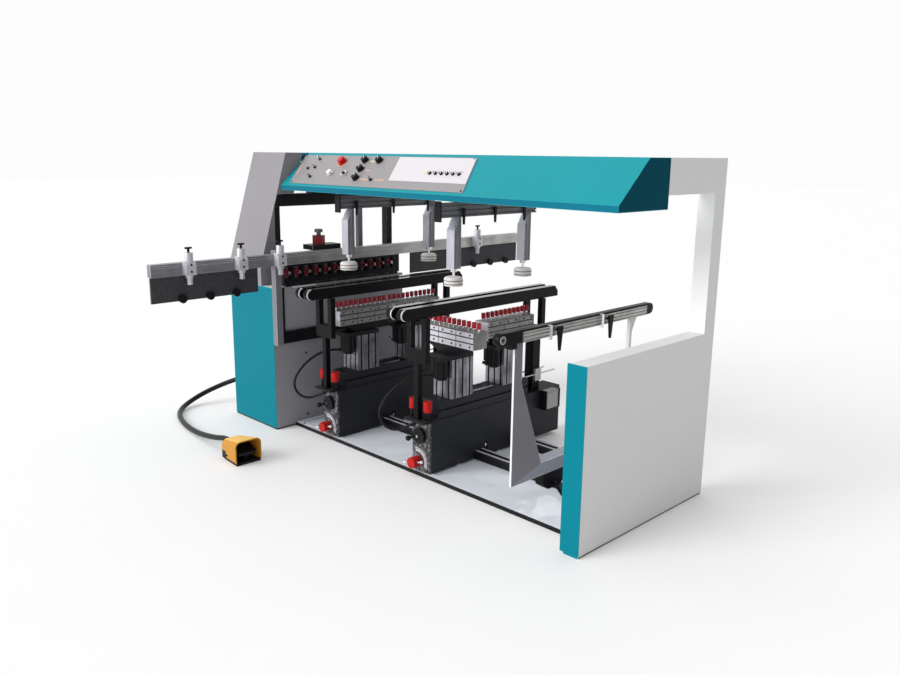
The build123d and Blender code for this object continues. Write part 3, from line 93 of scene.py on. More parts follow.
# %% Colours
def tone(code):
    """Linear colour from a six-figure code, by the usual curve of screens."""
    parts = [int(code[i:i + 2], 16) / 255 for i in (1, 3, 5)]
    return (*[p / 12.92 if p <= 0.04045 else ((p + 0.055) / 1.055) ** 2.4 for p in parts], 1)


print("the hood's teal in linear light:", [round(v, 3) for v in tone("#148B95")[:3]])

# %% [markdown]
# Several finishes share the same effects, so each effect is a node group, built once: the peel of sprayed
# paint, the flecks of textured paint, the lines of drawn metal, settled dust, rubbed edges and the marks
# of hands. Nodes could be wired by hand in every material; a small class with short calls for the common
# nodes keeps each group readable. A group puts out colours, values and heights, and each material keeps
# its own shader.

# %% Helpers for node groups
FLOAT = "NodeSocketFloat"
COLOUR = "NodeSocketColor"
VECTOR = "NodeSocketVector"
SURFACE = [("Colour", COLOUR), ("Roughness", FLOAT), ("Height", FLOAT)]
GREY = (0.5, 0.5, 0.5, 1)
NOISE = (0.3, 0.7)             # the span that nearly all of a noise lies in
TWO_NOISES = (0.75, 1.25)      # the span that most of the sum of two noises lies in


class Group:
    """A node group in the making, with named sockets and short calls for common nodes."""

    def __init__(self, name, inputs, outputs):
        self.tree = bpy.data.node_groups.new(name, "ShaderNodeTree")
        for label, kind, value in inputs:
            socket = self.tree.interface.new_socket(label, in_out="INPUT", socket_type=kind)
            socket.default_value = value
        for label, kind in outputs:
            self.tree.interface.new_socket(label, in_out="OUTPUT", socket_type=kind)
        self.enter = self.tree.nodes.new("NodeGroupInput").outputs
        self.leave = self.tree.nodes.new("NodeGroupOutput").inputs

    def node(self, kind, links=(), **settings):
        """Add a node, set its values and link its inputs."""
        made = self.tree.nodes.new(kind)
        for key, value in settings.items():
            setattr(made, key, value)
        for socket, source in dict(links).items():
            if hasattr(source, "is_linked"):
                self.tree.links.new(source, made.inputs[socket])
            else:
                made.inputs[socket].default_value = source
        return made

    def place(self):
        """The surface's own coordinates, in metres."""
        return self.node("ShaderNodeTexCoord").outputs["Object"]

    def noise(self, vector, scale, detail=3.0):
        """A noise between 0 and 1."""
        links = {"Vector": vector, "Scale": scale, "Detail": detail}
        return self.node("ShaderNodeTexNoise", links).outputs["Fac"]

    def spread(self, value, span, low=0.0, high=1.0):
        """Stretch a span of values onto another."""
        links = {"Value": value, "From Min": span[0], "From Max": span[1], "To Min": low, "To Max": high}
        return self.node("ShaderNodeMapRange", links).outputs[0]

    def combine(self, a, b, operation="ADD"):
        """Add, subtract or multiply two values."""
        return self.node("ShaderNodeMath", {0: a, 1: b}, operation=operation).outputs[0]

    def tint(self, colour, shade):
        """Scale a colour by a value."""
        return self.node("ShaderNodeVectorMath", {0: colour, "Scale": shade}, operation="SCALE").outputs[0]

    def blend(self, factor, a, b):
        """Mix two colours."""
        links = {"Factor": factor, "A": a, "B": b}
        return self.node("ShaderNodeMix", links, data_type="RGBA").outputs["Result"]

    def give(self, **results):
        """Join results to the group's own outputs."""
        for label, source in results.items():
            self.tree.links.new(source, self.leave[label])
        return self.tree


print("a surface group puts out:", [label for label, _ in SURFACE])

# %% [markdown]
# Sprayed paint is never quite even: its tone drifts slowly over a sheet, and its skin has a fine peel,
# like that of an orange. A picture of paint could be laid on, but two noises of different sizes give the
# same without seams: the slow one shifts tone and gloss, the fast one is the height for the bump.

# %% Orange peel and uneven tone of sprayed paint
def sprayed_paint():
    """Paint colour with a slow drift of tone and a fine peel."""
    g = Group("sprayed_paint", [("Colour", COLOUR, GREY), ("Drift", FLOAT, 0.06), ("Peel", FLOAT, 420.0),
                                ("Gloss", FLOAT, 0.4)], SURFACE)
    place = g.place()
    slow = g.noise(place, scale=2.6, detail=4.0)
    low = g.combine(1.0, g.enter["Drift"], "SUBTRACT")
    high = g.combine(1.0, g.enter["Drift"])
    shade = g.spread(slow, NOISE, low, high)
    rough = g.combine(g.enter["Gloss"], g.spread(slow, NOISE, -0.05, 0.05))
    return g.give(Colour=g.tint(g.enter["Colour"], shade), Roughness=rough,
                  Height=g.noise(place, g.enter["Peel"], detail=2.0))


paint_group = sprayed_paint()
print("group:", paint_group.name)

# %% [markdown]
# Textured paint and cast metal show grains that are lighter than their ground. A speckled picture would
# repeat over a large sheet. One noise, cut hard, is the mask of the grains instead, and the same noise is
# their height, so that each grain stands up where it is lighter. A slow noise keeps large faces alive.

# %% Flecks of textured paint
def flecked_paint():
    """Textured paint whose grains are lighter than its ground."""
    g = Group("flecked_paint", [("Colour", COLOUR, GREY), ("Fleck", COLOUR, GREY), ("Scale", FLOAT, 160.0),
                                ("Amount", FLOAT, 0.5), ("Gloss", FLOAT, 0.5)], SURFACE)
    place = g.place()
    grains = g.noise(place, g.enter["Scale"])
    grain_cut = (0.44, 0.66)
    mask = g.combine(g.spread(grains, grain_cut), g.enter["Amount"], "MULTIPLY")
    mixed = g.blend(mask, g.enter["Colour"], g.enter["Fleck"])
    shade = g.spread(g.noise(place, scale=7.0), NOISE, 0.96, 1.03)
    rough = g.combine(g.enter["Gloss"], g.spread(grains, NOISE, -0.08, 0.08))
    return g.give(Colour=g.tint(mixed, shade), Roughness=rough, Height=grains)


fleck_group = flecked_paint()
print("group:", fleck_group.name)

# %% [markdown]
# A drawing die or a grinding wheel leaves fine lines along the metal. An anisotropic shader would bend
# the highlights only; a noise whose space is squeezed along one axis draws the lines themselves, which
# then show in colour, roughness and bump. A second noise adds the stains of handling.

# %% Lines of drawn or ground metal
def drawn_metal():
    """Fine lines along one axis, stretched by the die or the grinding wheel, with handling stains."""
    g = Group("drawn_metal", [("Colour", COLOUR, GREY), ("Stretch", VECTOR, (300.0, 3.0, 300.0)),
                              ("Contrast", FLOAT, 0.2), ("Gloss", FLOAT, 0.35)], SURFACE)
    place = g.place()
    links = {0: place, 1: g.enter["Stretch"]}
    along = g.node("ShaderNodeVectorMath", links, operation="MULTIPLY").outputs[0]
    lines = g.noise(along, scale=1.0, detail=4.0)
    both = g.combine(lines, g.noise(place, scale=11.0, detail=5.0))
    low = g.combine(1.0, g.enter["Contrast"], "SUBTRACT")
    shade = g.spread(both, TWO_NOISES, low, 1.05)
    rough = g.combine(g.enter["Gloss"], g.spread(both, TWO_NOISES, 0.08, -0.08))
    return g.give(Colour=g.tint(g.enter["Colour"], shade), Roughness=rough, Height=lines)


metal_group = drawn_metal()
print("group:", metal_group.name)

# %% [markdown]
# Fine wood dust settles on whatever faces up. It could be painted by hand on each piece; the surface's
# own normal tells which way it faces, so one mask serves them all, broken into patches by a noise.

# %% Dust on upward faces
def settled_dust():
    """A pale film on what faces up, patchy, as fine wood dust settles."""
    g = Group("settled_dust", [("Colour", COLOUR, GREY), ("Amount", FLOAT, 0.3)], [("Colour", COLOUR)])
    patches = g.spread(g.noise(g.place(), scale=24.0, detail=6.0), (0.35, 0.75))
    normal = g.node("ShaderNodeNewGeometry").outputs["Normal"]
    upward = g.spread(g.node("ShaderNodeSeparateXYZ", {0: normal}).outputs["Z"], (0.55, 0.95))
    film = g.combine(g.combine(upward, patches, "MULTIPLY"), g.enter["Amount"], "MULTIPLY")
    return g.give(Colour=g.blend(film, g.enter["Colour"], tone("#C9BFB0")))


dust_group = settled_dust()
print("group:", dust_group.name)

# %% [markdown]
# Edges lose their paint first, in chips and rub marks. A shader can look for edges by itself, but that is
# slow or needs a very fine mesh, so the edges get rounds of their own further down, and this group only
# breaks up the paint there: two noises make patches in which the colour below shows.

# %% Chips and rub marks along edges
def rubbed_edge():
    """Paint that is rubbed through in patches to what lies under it."""
    g = Group("rubbed_edge", [("Colour", COLOUR, GREY), ("Under", COLOUR, GREY), ("Amount", FLOAT, 0.5)],
              [("Colour", COLOUR)])
    place = g.place()
    chips = g.combine(g.noise(place, scale=38.0, detail=4.0), g.noise(place, scale=9.0))
    chip_cut = (0.95, 1.12)
    mask = g.combine(g.spread(chips, chip_cut), g.enter["Amount"], "MULTIPLY")
    return g.give(Colour=g.blend(mask, g.enter["Colour"], g.enter["Under"]))


rub_group = rubbed_edge()
print("group:", rub_group.name)

# %% [markdown]
# The fence is painted darker towards its front and lighter towards the rear, painted shade along its
# length. A second material with a sharp border would look painted, so a ramp along the fence's length,
# made uneven by a noise, darkens it step by step.

# %% Metal darkened by painted shade along a length
def handled_length():
    """Metal that is darker towards the front, painted shade along its length."""
    g = Group("handled_length", [("Colour", COLOUR, GREY), ("Start", FLOAT, 0.0), ("End", FLOAT, 1.0),
                                 ("Dark", FLOAT, 0.6)], [("Colour", COLOUR)])
    place = g.place()
    along = g.node("ShaderNodeSeparateXYZ", {0: place}).outputs["Y"]
    uneven = g.combine(along, g.spread(g.noise(place, scale=6.0), NOISE, -0.1, 0.1))
    shade = g.spread(uneven, (g.enter["Start"], g.enter["End"]), g.enter["Dark"], 1.0)
    return g.give(Colour=g.tint(g.enter["Colour"], shade))


handled_group = handled_length()
print("group:", handled_group.name)

# %% [markdown]
# A finish is one Principled shader fed by a group. Three makers cover the machine: sprayed paint and
# plastic, flecked paint, and drawn metal. Each takes the dust group as a further layer where the piece
# lies under falling dust, the rub group where the finish is for an edge, and the painted shade along the
# fence's length.
# Values that are the same all over go straight onto the shader's sockets.

# %% Makers of finishes
coat_roughness = 0.15
along_lines = 4.0            # how much a drawn line is drawn out along its axis: less is longer


def place_group(tree, group, **values):
    """Put a group in a material and set its inputs."""
    node = tree.nodes.new("ShaderNodeGroup")
    node.node_tree = group
    for label, value in values.items():
        node.inputs[label].default_value = value
    return node


def blank(name, metallic=0.0, coat=0.0, shine=0.5):
    """A material with its shader, and the values that are the same all over."""
    material = bpy.data.materials.new(name)
    material.use_nodes = True
    shader = material.node_tree.nodes["Principled BSDF"]
    shader.inputs["Metallic"].default_value = metallic
    shader.inputs["Specular IOR Level"].default_value = shine
    shader.inputs["Coat Weight"].default_value = coat
    shader.inputs["Coat Roughness"].default_value = coat_roughness
    return material, material.node_tree, shader


def feed(tree, shader, effect, bump, dust=0.0, rub=None, handled=None, depth=0.0006):
    """Lead an effect's outputs into a shader, with dust, rub or painted shade along a length over its
    colour.
    """
    colour = effect.outputs["Colour"]
    layers = []
    if dust:
        layers.append(place_group(tree, dust_group, Amount=dust))
    if rub:
        under, amount = rub
        layers.append(place_group(tree, rub_group, Under=tone(under), Amount=amount))
    if handled:
        start, end, dark = handled
        layers.append(place_group(tree, handled_group, Start=start, End=end, Dark=dark))
    for layer in layers:
        tree.links.new(colour, layer.inputs["Colour"])
        colour = layer.outputs["Colour"]
    tree.links.new(colour, shader.inputs["Base Color"])
    tree.links.new(effect.outputs["Roughness"], shader.inputs["Roughness"])
    relief = tree.nodes.new("ShaderNodeBump")
    relief.inputs["Strength"].default_value = bump
    relief.inputs["Distance"].default_value = depth
    tree.links.new(effect.outputs["Height"], relief.inputs["Height"])
    tree.links.new(relief.outputs["Normal"], shader.inputs["Normal"])


def sprayed(name, code, drift=0.04, peel=420.0, gloss=0.4, metallic=0.0, coat=0.0, shine=0.15, bump=0.06,
            **layers):
    """Sprayed paint or moulded plastic."""
    material, tree, shader = blank(name, metallic, coat, shine)
    effect = place_group(tree, paint_group, Colour=tone(code), Drift=drift, Peel=peel, Gloss=gloss)
    feed(tree, shader, effect, bump, **layers)
    return material


def flecked(name, code, fleck, scale=160.0, amount=0.5, gloss=0.5, metallic=0.0, shine=0.2, bump=0.15,
            **layers):
    """Textured paint or cast metal with visible grains."""
    material, tree, shader = blank(name, metallic, shine=shine)
    effect = place_group(tree, fleck_group, Colour=tone(code), Fleck=tone(fleck), Scale=scale,
                         Amount=amount, Gloss=gloss)
    feed(tree, shader, effect, bump, **layers)
    return material


def drawn(name, code, axis, contrast=0.2, gloss=0.35, metallic=0.6, lines=340.0, bump=0.1, **layers):
    """Drawn, brushed or ground metal, with its lines along one axis."""
    material, tree, shader = blank(name, metallic)
    stretch = [lines, lines, lines]
    stretch["XYZ".index(axis)] = along_lines
    effect = place_group(tree, metal_group, Colour=tone(code), Stretch=stretch, Contrast=contrast,
                         Gloss=gloss)
    feed(tree, shader, effect, bump, **layers)
    return material


print("makers:", [maker.__name__ for maker in (sprayed, flecked, drawn)])

# %% [markdown]
# The large painted pieces. The hood and the cabinet's front are blue-green powder coat, with a darker
# coat on the hood's lip; the hood's right-hand end is a still darker teal, painted shade. The right end is
# light grey, its front faces a lighter grey as a painted highlight, and the leaning cover a warm grey. The
# frame, the carriages and the bars are nearly black, the carriages' upward faces blacker still as painted
# shade, and the cabinet's flank has a fine fleck. One dictionary holds every finish under a short name, so
# a piece can be dressed by a word.

# %% Painted finishes
finish = {
    "teal": sprayed("teal_powder_coat", "#148B95", shine=0.1),
    "teal_front": sprayed("teal_front_coat", "#067888", drift=0.02, shine=0.05),
    "teal_lip": sprayed("teal_lip_coat", "#046A80", shine=0.1),
    # the hood's right-hand end: the teal painted darker, as painted shade
    "teal_end_shade": sprayed("teal_end_painted_shade", "#004657", drift=0.02, shine=0.02),
    "light_grey": sprayed("light_grey_powder_coat", "#DDDDDD", drift=0.015),
    # the right end's front faces: the light grey painted lighter, as a painted highlight
    "light_grey_lit_front": sprayed("light_grey_front_painted_highlight", "#F4F4F4", drift=0.015),
    "warm_grey": sprayed("warm_grey_paint", "#8C898E", drift=0.03),
    "panel_grey": sprayed("panel_grey_paint", "#8F8C8E", drift=0.03, gloss=0.35),
    "inset_white": sprayed("inset_white_film", "#CBC8CC", drift=0.02, gloss=0.3),
    "mid_grey": sprayed("mid_grey_paint", "#7B7A80", drift=0.05),
    "gusset_grey": flecked("gusset_grey_paint", "#7A797E", "#908F94", scale=240.0, amount=0.4),
    "foot_grey": sprayed("foot_grey_paint", "#8C919B", drift=0.05, dust=0.1),
    "cabinet_grey": flecked("cabinet_grey_paint", "#9E9DA4", "#B2B1B7", scale=240.0, amount=0.4),
    "black": sprayed("black_paint", "#19181C", drift=0.1, gloss=0.35, dust=0.06),
    "carriage_dark": flecked("carriage_dark_paint", "#212227", "#3F4046", scale=260.0, gloss=0.42),
    # the carriages' upward faces: a blacker black, painted shade
    "bed_top_shade": sprayed("bed_top_painted_shade", "#0F0E11", drift=0.1, gloss=0.45, shine=0.1),
    "face_dark": flecked("fence_face_dark", "#3C3A3D", "#55535A", scale=180.0, amount=0.5),
    "pan_pale": sprayed("pan_bright_sheet", "#EDF2FA", drift=0.03, peel=3.4, gloss=0.12, metallic=0.1,
                        shine=0.5, bump=1.0, depth=0.018),
    "yellow": sprayed("pedal_yellow_paint", "#C08628", drift=0.05, gloss=0.35, bump=0.1),
    # the pedal guard's top: a lighter yellow, a painted highlight
    "yellow_lit_top": sprayed("pedal_top_painted_highlight", "#F6C05C", drift=0.05, gloss=0.4, bump=0.1),
    "white": sprayed("white_paint", "#EFEFF1", drift=0.02),
    # Edge finishes: lighter than the faces they round, a painted highlight along the edges, with paint
    # rubbed through in patches as wear.
    "highlit_worn_black": sprayed("worn_black_edge_painted_highlight", "#2B2A2F", gloss=0.3, rub=("#A9A8AE", 0.8)),
    "highlit_worn_grey": sprayed("worn_grey_edge_painted_highlight", "#E6E6E6", gloss=0.4, rub=("#B9B9BA", 0.35)),
    "highlit_worn_warm": sprayed("worn_warm_edge_painted_highlight", "#9D9A9F", gloss=0.4, rub=("#C9C6CA", 0.4)),
    "highlit_worn_teal": sprayed("worn_teal_edge_painted_highlight", "#1C98A4", gloss=0.35, rub=("#6FB9C2", 0.45)),
}
print("painted:", len(finish))

# %% [markdown]
# The small pieces: moulded plastic, bright and drawn metal. Extruded columns and beams are only half
# metallic, because their anodised skin scatters light; the chucks' necks and the rods are chrome. The
# painted shade along the fence is darkest up to 0.2 m before the machine's middle and gone a metre behind
# it.

# %% Plastics and metals
length_shade_span = (-0.2, 1.0, 0.6)        # where they start to fade, where they end, and the darkest shade
finish.update({
    "black_plastic": sprayed("black_plastic", "#151417", peel=700.0, gloss=0.32),
    "bar_black": sprayed("bar_black_plastic", "#0D0C0F", drift=0.1, peel=500.0, gloss=0.34, shine=0.12),
    # the bars' flat tops: a lighter grey as a painted highlight, under a clear coat
    "bar_top_highlight": sprayed("bar_top_painted_highlight", "#3A393C", drift=0.1, peel=500.0, gloss=0.2, coat=1.0, shine=0.5),
    "red_plastic": sprayed("red_plastic", "#BE1712", gloss=0.3, coat=0.3),
    "knob_red": sprayed("knob_red_plastic", "#B0120E", drift=0.12, gloss=0.3, coat=0.15, shine=0.15),
    "chuck_red": sprayed("chuck_red_paint", "#B01C30", gloss=0.3, coat=0.3),
    "dark_red": sprayed("dark_red_paint", "#7A1420", gloss=0.35, coat=0.2),
    "cream": sprayed("cream_rubber", "#DCD6D4", drift=0.08, peel=240.0, gloss=0.6, dust=0.25, bump=0.15),
    "peach": sprayed("peach_film", "#CF9F8A", drift=0.05, gloss=0.35),
    "pale_yellow": sprayed("pale_yellow_film", "#CDC09A", drift=0.05, gloss=0.35),
    "rubber": sprayed("hose_rubber", "#131416", peel=900.0, gloss=0.34, shine=0.2),
    "steel": drawn("ground_steel", "#C3C5CA", "X", contrast=0.25, gloss=0.25, metallic=0.9),
    "chrome": drawn("bright_chrome", "#E8E9EC", "Z", contrast=0.08, gloss=0.16, metallic=1.0, bump=0.03),
    "alloy_y": drawn("drawn_alloy_along", "#C2C0BD", "Y", contrast=0.3),
    # the fence's alloy: painted shade along its length, darker towards the front
    "fence_alloy": drawn("fence_alloy", "#C2C0BD", "Y", contrast=0.3, handled=length_shade_span),
    "rail_bright": drawn("ground_rail_top", "#D8DADF", "X", contrast=0.15, gloss=0.22, metallic=0.35),
    "alloy_z": drawn("drawn_alloy_upright", "#A9AAB0", "Z", contrast=0.8, lines=70.0),
    # the lift plates: near-black, painted shade
    "lift_shade_black": flecked("lift_plate_painted_shade", "#17171A", "#2C2C30", scale=180.0),
    # pale alloy; on the gear cases' front faces it is a painted highlight
    "alloy_white": drawn("pale_alloy_and_painted_highlight", "#D3D3DA", "Z", contrast=0.2, metallic=0.3),
    "cylinder_front": drawn("cylinder_front_alloy", "#C2C2CC", "Z", contrast=0.25, metallic=0.3),
    "beam_dark": drawn("dark_anodised_beam", "#8A8990", "Y", contrast=0.35, metallic=0.3),
    "rail_dark": drawn("dark_presser_beam", "#66676A", "Y", contrast=0.35, metallic=0.3),
    # alloy edges: lighter than the faces, a painted highlight, with rubbed patches
    "highlit_worn_alloy": drawn("rubbed_alloy_edge_painted_highlight", "#E6E6EA", "Y", contrast=0.3, metallic=0.5, gloss=0.3),
    # the cylinders' right-hand faces: a darker alloy, painted shade
    "cylinder_shaded_side": flecked("cylinder_side_painted_shade", "#7C7A80", "#B0AFB5", scale=150.0, metallic=0.2),
    # dark screws, seams and ticks, and painted shade on the walls of grooves and on the pads' groove bands
    "groove": drawn("dark_fittings_and_painted_groove_shade", "#26262A", "Z", contrast=0.3, metallic=0.2, gloss=0.5),
    "cast_alloy": flecked("cast_alloy", "#7E7D7D", "#AFAEAD", scale=120.0, amount=0.6, gloss=0.4,
                          metallic=0.3),
    "plate_alloy": flecked("milled_plate_alloy", "#424142", "#98979A", scale=60.0, amount=0.7, gloss=0.35,
                           metallic=0.4),
    "motor_alloy": flecked("motor_alloy", "#A9A7A5", "#C9C8C6", scale=320.0, amount=0.4, metallic=0.3),
})
print("finishes:", len(finish))

# %% [markdown]
# A solid of the frame may hold several pieces with different finishes, such as a carriage with its
# bright front plate and red regulators. Each piece could be cut loose into an object of its own; here the
# mesh stays as it is, and faces get another material slot when the middle of the face passes a test. The
# last test that a face passes wins. Most limits are real faces, and a hair to either side of a limit says
# whether the faces that lie on it count.

# %% Dressing the frame's solids
FAR = 9.0            # metres, past every piece
HAIR = 0.0001        # a tenth of a millimetre
ALL = (-FAR, FAR)
SQUARE = 0.9         # the least cosine for a face that looks along an axis
WALL = 0.5           # the most that a wall's normal rises
dressed = []


def above(limit):
    """The span past a limit."""
    return (limit + HAIR, FAR)


def below(limit):
    """The span short of a limit."""
    return (-FAR, limit - HAIR)


def between(low, high):
    """The span from one limit to another, without what lies on them."""
    return (low + HAIR, high - HAIR)


def across(low, high):
    """The span from one limit to another, with what lies on them."""
    return (low - HAIR, high + HAIR)


def within(x=ALL, y=ALL, z=ALL):
    """A test for faces whose middle lies in a box."""
    return lambda c, n: x[0] < c.x < x[1] and y[0] < c.y < y[1] and z[0] < c.z < z[1]


def looks(axis, sign, z=ALL):
    """A test for faces that look along an axis."""
    return lambda c, n: sign * n["xyz".index(axis)] > SQUARE and z[0] < c.z < z[1]


def both(first, second):
    """A test for faces that pass two tests."""
    return lambda c, n: first(c, n) and second(c, n)


def dress(node, base, *patches):
    """Give a node its finish, and other finishes to faces that pass a test."""
    mesh = nodes[node].data
    mesh.materials.clear()
    mesh.materials.append(finish[base])
    for other, _ in patches:
        mesh.materials.append(finish[other])
    for face in mesh.polygons:
        face.material_index = 0
        for index, (_, test) in enumerate(patches, 1):
            if test(face.center, face.normal):
                face.material_index = index
    dressed.append(node)


print("solids to dress:", len(nodes))

# %% [markdown]
# The body is folded sheet and welded tube: a pale pan on a black base, ground bars on black beds, the
# cabinet with its leaning cover, the right end, the hood, and the black frame between them. Most have one
# finish. The base's tops and the hood's lip get their own by where they lie. Painted light is laid on too:
# a dark line of painted shade along the foot of the cabinet and the right end, a white painted highlight on
# the cabinet's top, a lighter grey painted highlight on the right end's front faces, and a darker teal
# painted shade on the hood's right-hand end.

# %% Body, hood and cabinet
bed_top = 0.044                # the ground bars stand on it
foot_shade_top = 0.008
coloured_front = -0.4          # the right end's front lies before this, where its foot keeps the teal
cabinet_top = (0.77, 0.78)
cabinet_left = -1.220          # the hose's gland stands out past it
lip_top = 1.303                # the hood's slope starts here
# A dark line of painted shade along the foot of the cabinet and the right end, up to 8 mm high.
painted_foot_shade = within(z=across(-FAR, foot_shade_top))
stay_post = within(x=(-0.956, -0.922), y=(0.220, 0.254), z=(0.7, 1.2))
dress("base_frame", "black", ("pan_pale", looks("z", 1)))
dress("base_pan", "pan_pale")
dress("guide_rails", "rail_bright", ("groove", looks("y", -1)), ("black", within(z=across(0, bed_top))))
# The cabinet's top is painted white, a painted highlight; its foot carries the dark line of painted shade.
dress("left_cabinet", "cabinet_grey", ("white", looks("z", 1, z=cabinet_top)), ("black", painted_foot_shade),
      ("black_plastic", within(x=below(cabinet_left))))
dress("front_covers", "teal_front")
dress("column_cover", "warm_grey")
# The right end's faces that look to the front get a lighter grey, a painted highlight.
dress("right_end_frame", "light_grey", ("light_grey_lit_front", looks("y", -1)), ("black", painted_foot_shade),
      ("teal_front", both(painted_foot_shade, within(y=(-FAR, coloured_front)))))
# The hood's faces that look to the right get a darker teal, painted shade.
dress("hood", "teal", ("teal_end_shade", looks("x", 1)), ("teal_lip", looks("y", -1, z=across(-FAR, lip_top))))
dress("upper_frame", "black", ("mid_grey", stay_post))
print("solids dressed:", len(dressed), "of", len(nodes))

# %% [markdown]
# The control panel is one solid of plate, white inset, rings, knobs and keys that lie in layers on the
# hood's slope. The height of a face above the slope tells what it is, so the slope gets its own small
# coordinate frame, which the fittings use again later.

# %% Control panel
slope_foot = Vector((-0.835, -0.314, lip_top))
slope_run, slope_rise = 0.185, 0.168
slope_up = Vector((0, slope_run, slope_rise)).normalized()
slope_out = Vector((0, -slope_rise, slope_run)).normalized()
panel_face, inset_face = 0.003, 0.0045         # heights above the slope
inset_at, inset_reach = (0.97, 0.146), 0.32    # places are along the slope's foot and up the slope
button_at, start_at, button_reach = (0.395, 0.096), (0.284, 0.094), 0.02
emergency_at, emergency_reach = (0.305, 0.180), 0.03


def on_slope(x, up, out=0.0):
    """A point on the hood's slope, from the panel's lower left corner."""
    return slope_foot + Vector((x, 0, 0)) + up * slope_up + out * slope_out


def stands_out(low, high):
    """A test for faces at a height above the slope."""
    return lambda c, n: low < (c - slope_foot).dot(slope_out) < high


def near_slope(place, radius):
    """A test for faces round a place on the slope."""
    return lambda c, n: (c - on_slope(*place, (c - slope_foot).dot(slope_out))).length < radius


raised = stands_out(*above(panel_face))
low = stands_out(panel_face + HAIR, inset_face + HAIR)
dress("control_panel", "panel_grey",
      ("inset_white", both(low, near_slope(inset_at, inset_reach))),
      ("black_plastic", stands_out(*above(inset_face))),
      ("chrome", both(raised, near_slope(button_at, button_reach))),
      ("chrome", both(raised, near_slope(start_at, button_reach))),
      ("red_plastic", both(raised, near_slope(emergency_at, emergency_reach))))
dress("emergency_button", "red_plastic")
dress("start_button", "white")
for selector in ("selector_1", "selector_2"):
    dress(selector, "black_plastic")
print("solids dressed:", len(dressed), "of", len(nodes))

# %% [markdown]
# The fence is drawn alloy in two lengths, the front one darker and the rear one with painted shade that
# deepens towards the front, with black faces below.
# The side head behind it is a black gear case whose pockets show pale floors, dark red collars and
# bright chucks. Each of these is told apart by one plane that it lies on or stands out from.

# %% Fence and side head
post_front, post_rear = -0.453, -0.415     # the grey post between the two lengths
face_front = -0.775                        # the rollers stand out past it
stop_top = 1.006                           # a black nipple stands on each stop
pocket_floor = -0.820
collar_front = -0.800                      # the chucks stand out past it
turret_top = 1.0324                        # the neck and the knob stand on it
# The fence's rear length carries painted shade that deepens towards the front.
dress("fence_beam", "fence_alloy", ("beam_dark", within(y=below(post_front))),
      ("mid_grey", within(y=across(post_front, post_rear))))
dress("fence_faces", "face_dark", ("black_plastic", within(x=above(face_front))))
dress("side_frame", "black")
dress("stop_bodies", "alloy_white", ("black_plastic", within(z=above(stop_top))))
dress("stop_pins", "alloy_white")
dress("side_head", "black", ("alloy_white", within(x=across(pocket_floor, pocket_floor))))
dress("side_chucks", "chuck_red", ("chrome", within(x=above(collar_front))))
dress("depth_turret", "dark_red", ("rail_dark", within(z=above(turret_top))))
print("solids dressed:", len(dressed), "of", len(nodes))

# %% [markdown]
# The two carriages are alike, so one loop dresses both. Distances across the machine are taken from the
# row of spindles, because each carriage is built round it. The body is flecked black, its upward faces a
# blacker black as painted shade, the front plate milled alloy, the knobs red, and the bars black with a
# clear-coated top that is painted lighter grey as a highlight.

# %% Carriages
rows = {1: -0.488, 2: 0.210}
carriage_top, plate_face = 0.274, -0.322
plate_y, plate_z = (plate_face - 5 * HAIR, -0.309), (0.0245, 0.2735)
shelf_y, shelf_z = (-0.372, -0.266), (carriage_top + HAIR, 0.2845)
socket_y, socket_z = (-FAR, plate_y[0] - HAIR), (0.2, plate_z[1])     # the air hose's socket
regulator_y, regulator_neck = (-0.349, -0.301), 0.324
crank_arm = (-0.3506, -0.3404)
lock_x, lock_z, lock_radius = -0.022, 0.068, 0.0275
bar_tops = (0.80, 0.82)                             # the flat tops and the start of the round noses
motor_height, motor_front, motor_back = (0.16, 0.30), 0.474, 0.571    # an end plate past either end
valve_height = (0.32, 0.40)


def beyond_axis(x, z, radius):
    """A test for faces further than a distance from an axis along Y."""
    return lambda c, n: math.hypot(c.x - x, c.z - z) > radius


for c, row in rows.items():
    # The carriage's upward faces get a blacker paint, painted shade.
    dress(f"carriage_{c}", "carriage_dark", ("bed_top_shade", looks("z", 1)),
          ("plate_alloy", within(y=plate_y, z=plate_z)),
          ("black", within(y=shelf_y, z=shelf_z)),
          ("black_plastic", within(y=socket_y, z=socket_z)),
          ("black_plastic", within(y=regulator_y, z=between(shelf_z[1], regulator_neck))),
          ("knob_red", within(y=regulator_y, z=across(regulator_neck, FAR))))
    dress(f"handwheel_{c}", "black_plastic", ("chrome", within(y=crank_arm)))
    dress(f"lock_knob_{c}", "knob_red", ("chrome", beyond_axis(row + lock_x, lock_z, lock_radius)))
    # The bars' flat tops get a lighter grey, a painted highlight.
    dress(f"work_bars_{c}", "bar_black", ("bar_top_highlight", looks("z", 1, z=bar_tops)))
    dress(f"drive_motor_{c}", "motor_alloy",
          ("black", within(y=across(-FAR, motor_front), z=motor_height)),
          ("black", within(y=across(motor_back, FAR), z=motor_height)),
          ("alloy_y", within(z=valve_height)))
print("solids dressed:", len(dressed), "of", len(nodes))

# %% [markdown]
# A drilling unit stands at the front and at the rear of each carriage: an extruded column with a ram
# beside it, a lift plate on bright guide rods, a cast gear case on a black foot, and red chucks on
# bright necks. The lift plate is painted near-black as shade, the case's front faces are painted pale as
# a highlight, and the walls of the grooves in the column and the case are painted dark as shade. These
# pieces are stacked, so height tells most of them apart.

# %% Drilling units
head_places = {"front": -0.114, "rear": 0.246}
column_half_x, column_half_y = 0.061, 0.071
skin_depth = 0.001                                  # the groove walls start this far inside a column
ram_reach = 0.14
lift_foot, motor_foot = 0.5447, 0.45                # the spindle motor hangs before the column
case_foot, case_top = 0.605, 0.684
case_grooves = ((0.631, 0.637), (0.657, 0.663))
neck_top = 0.698


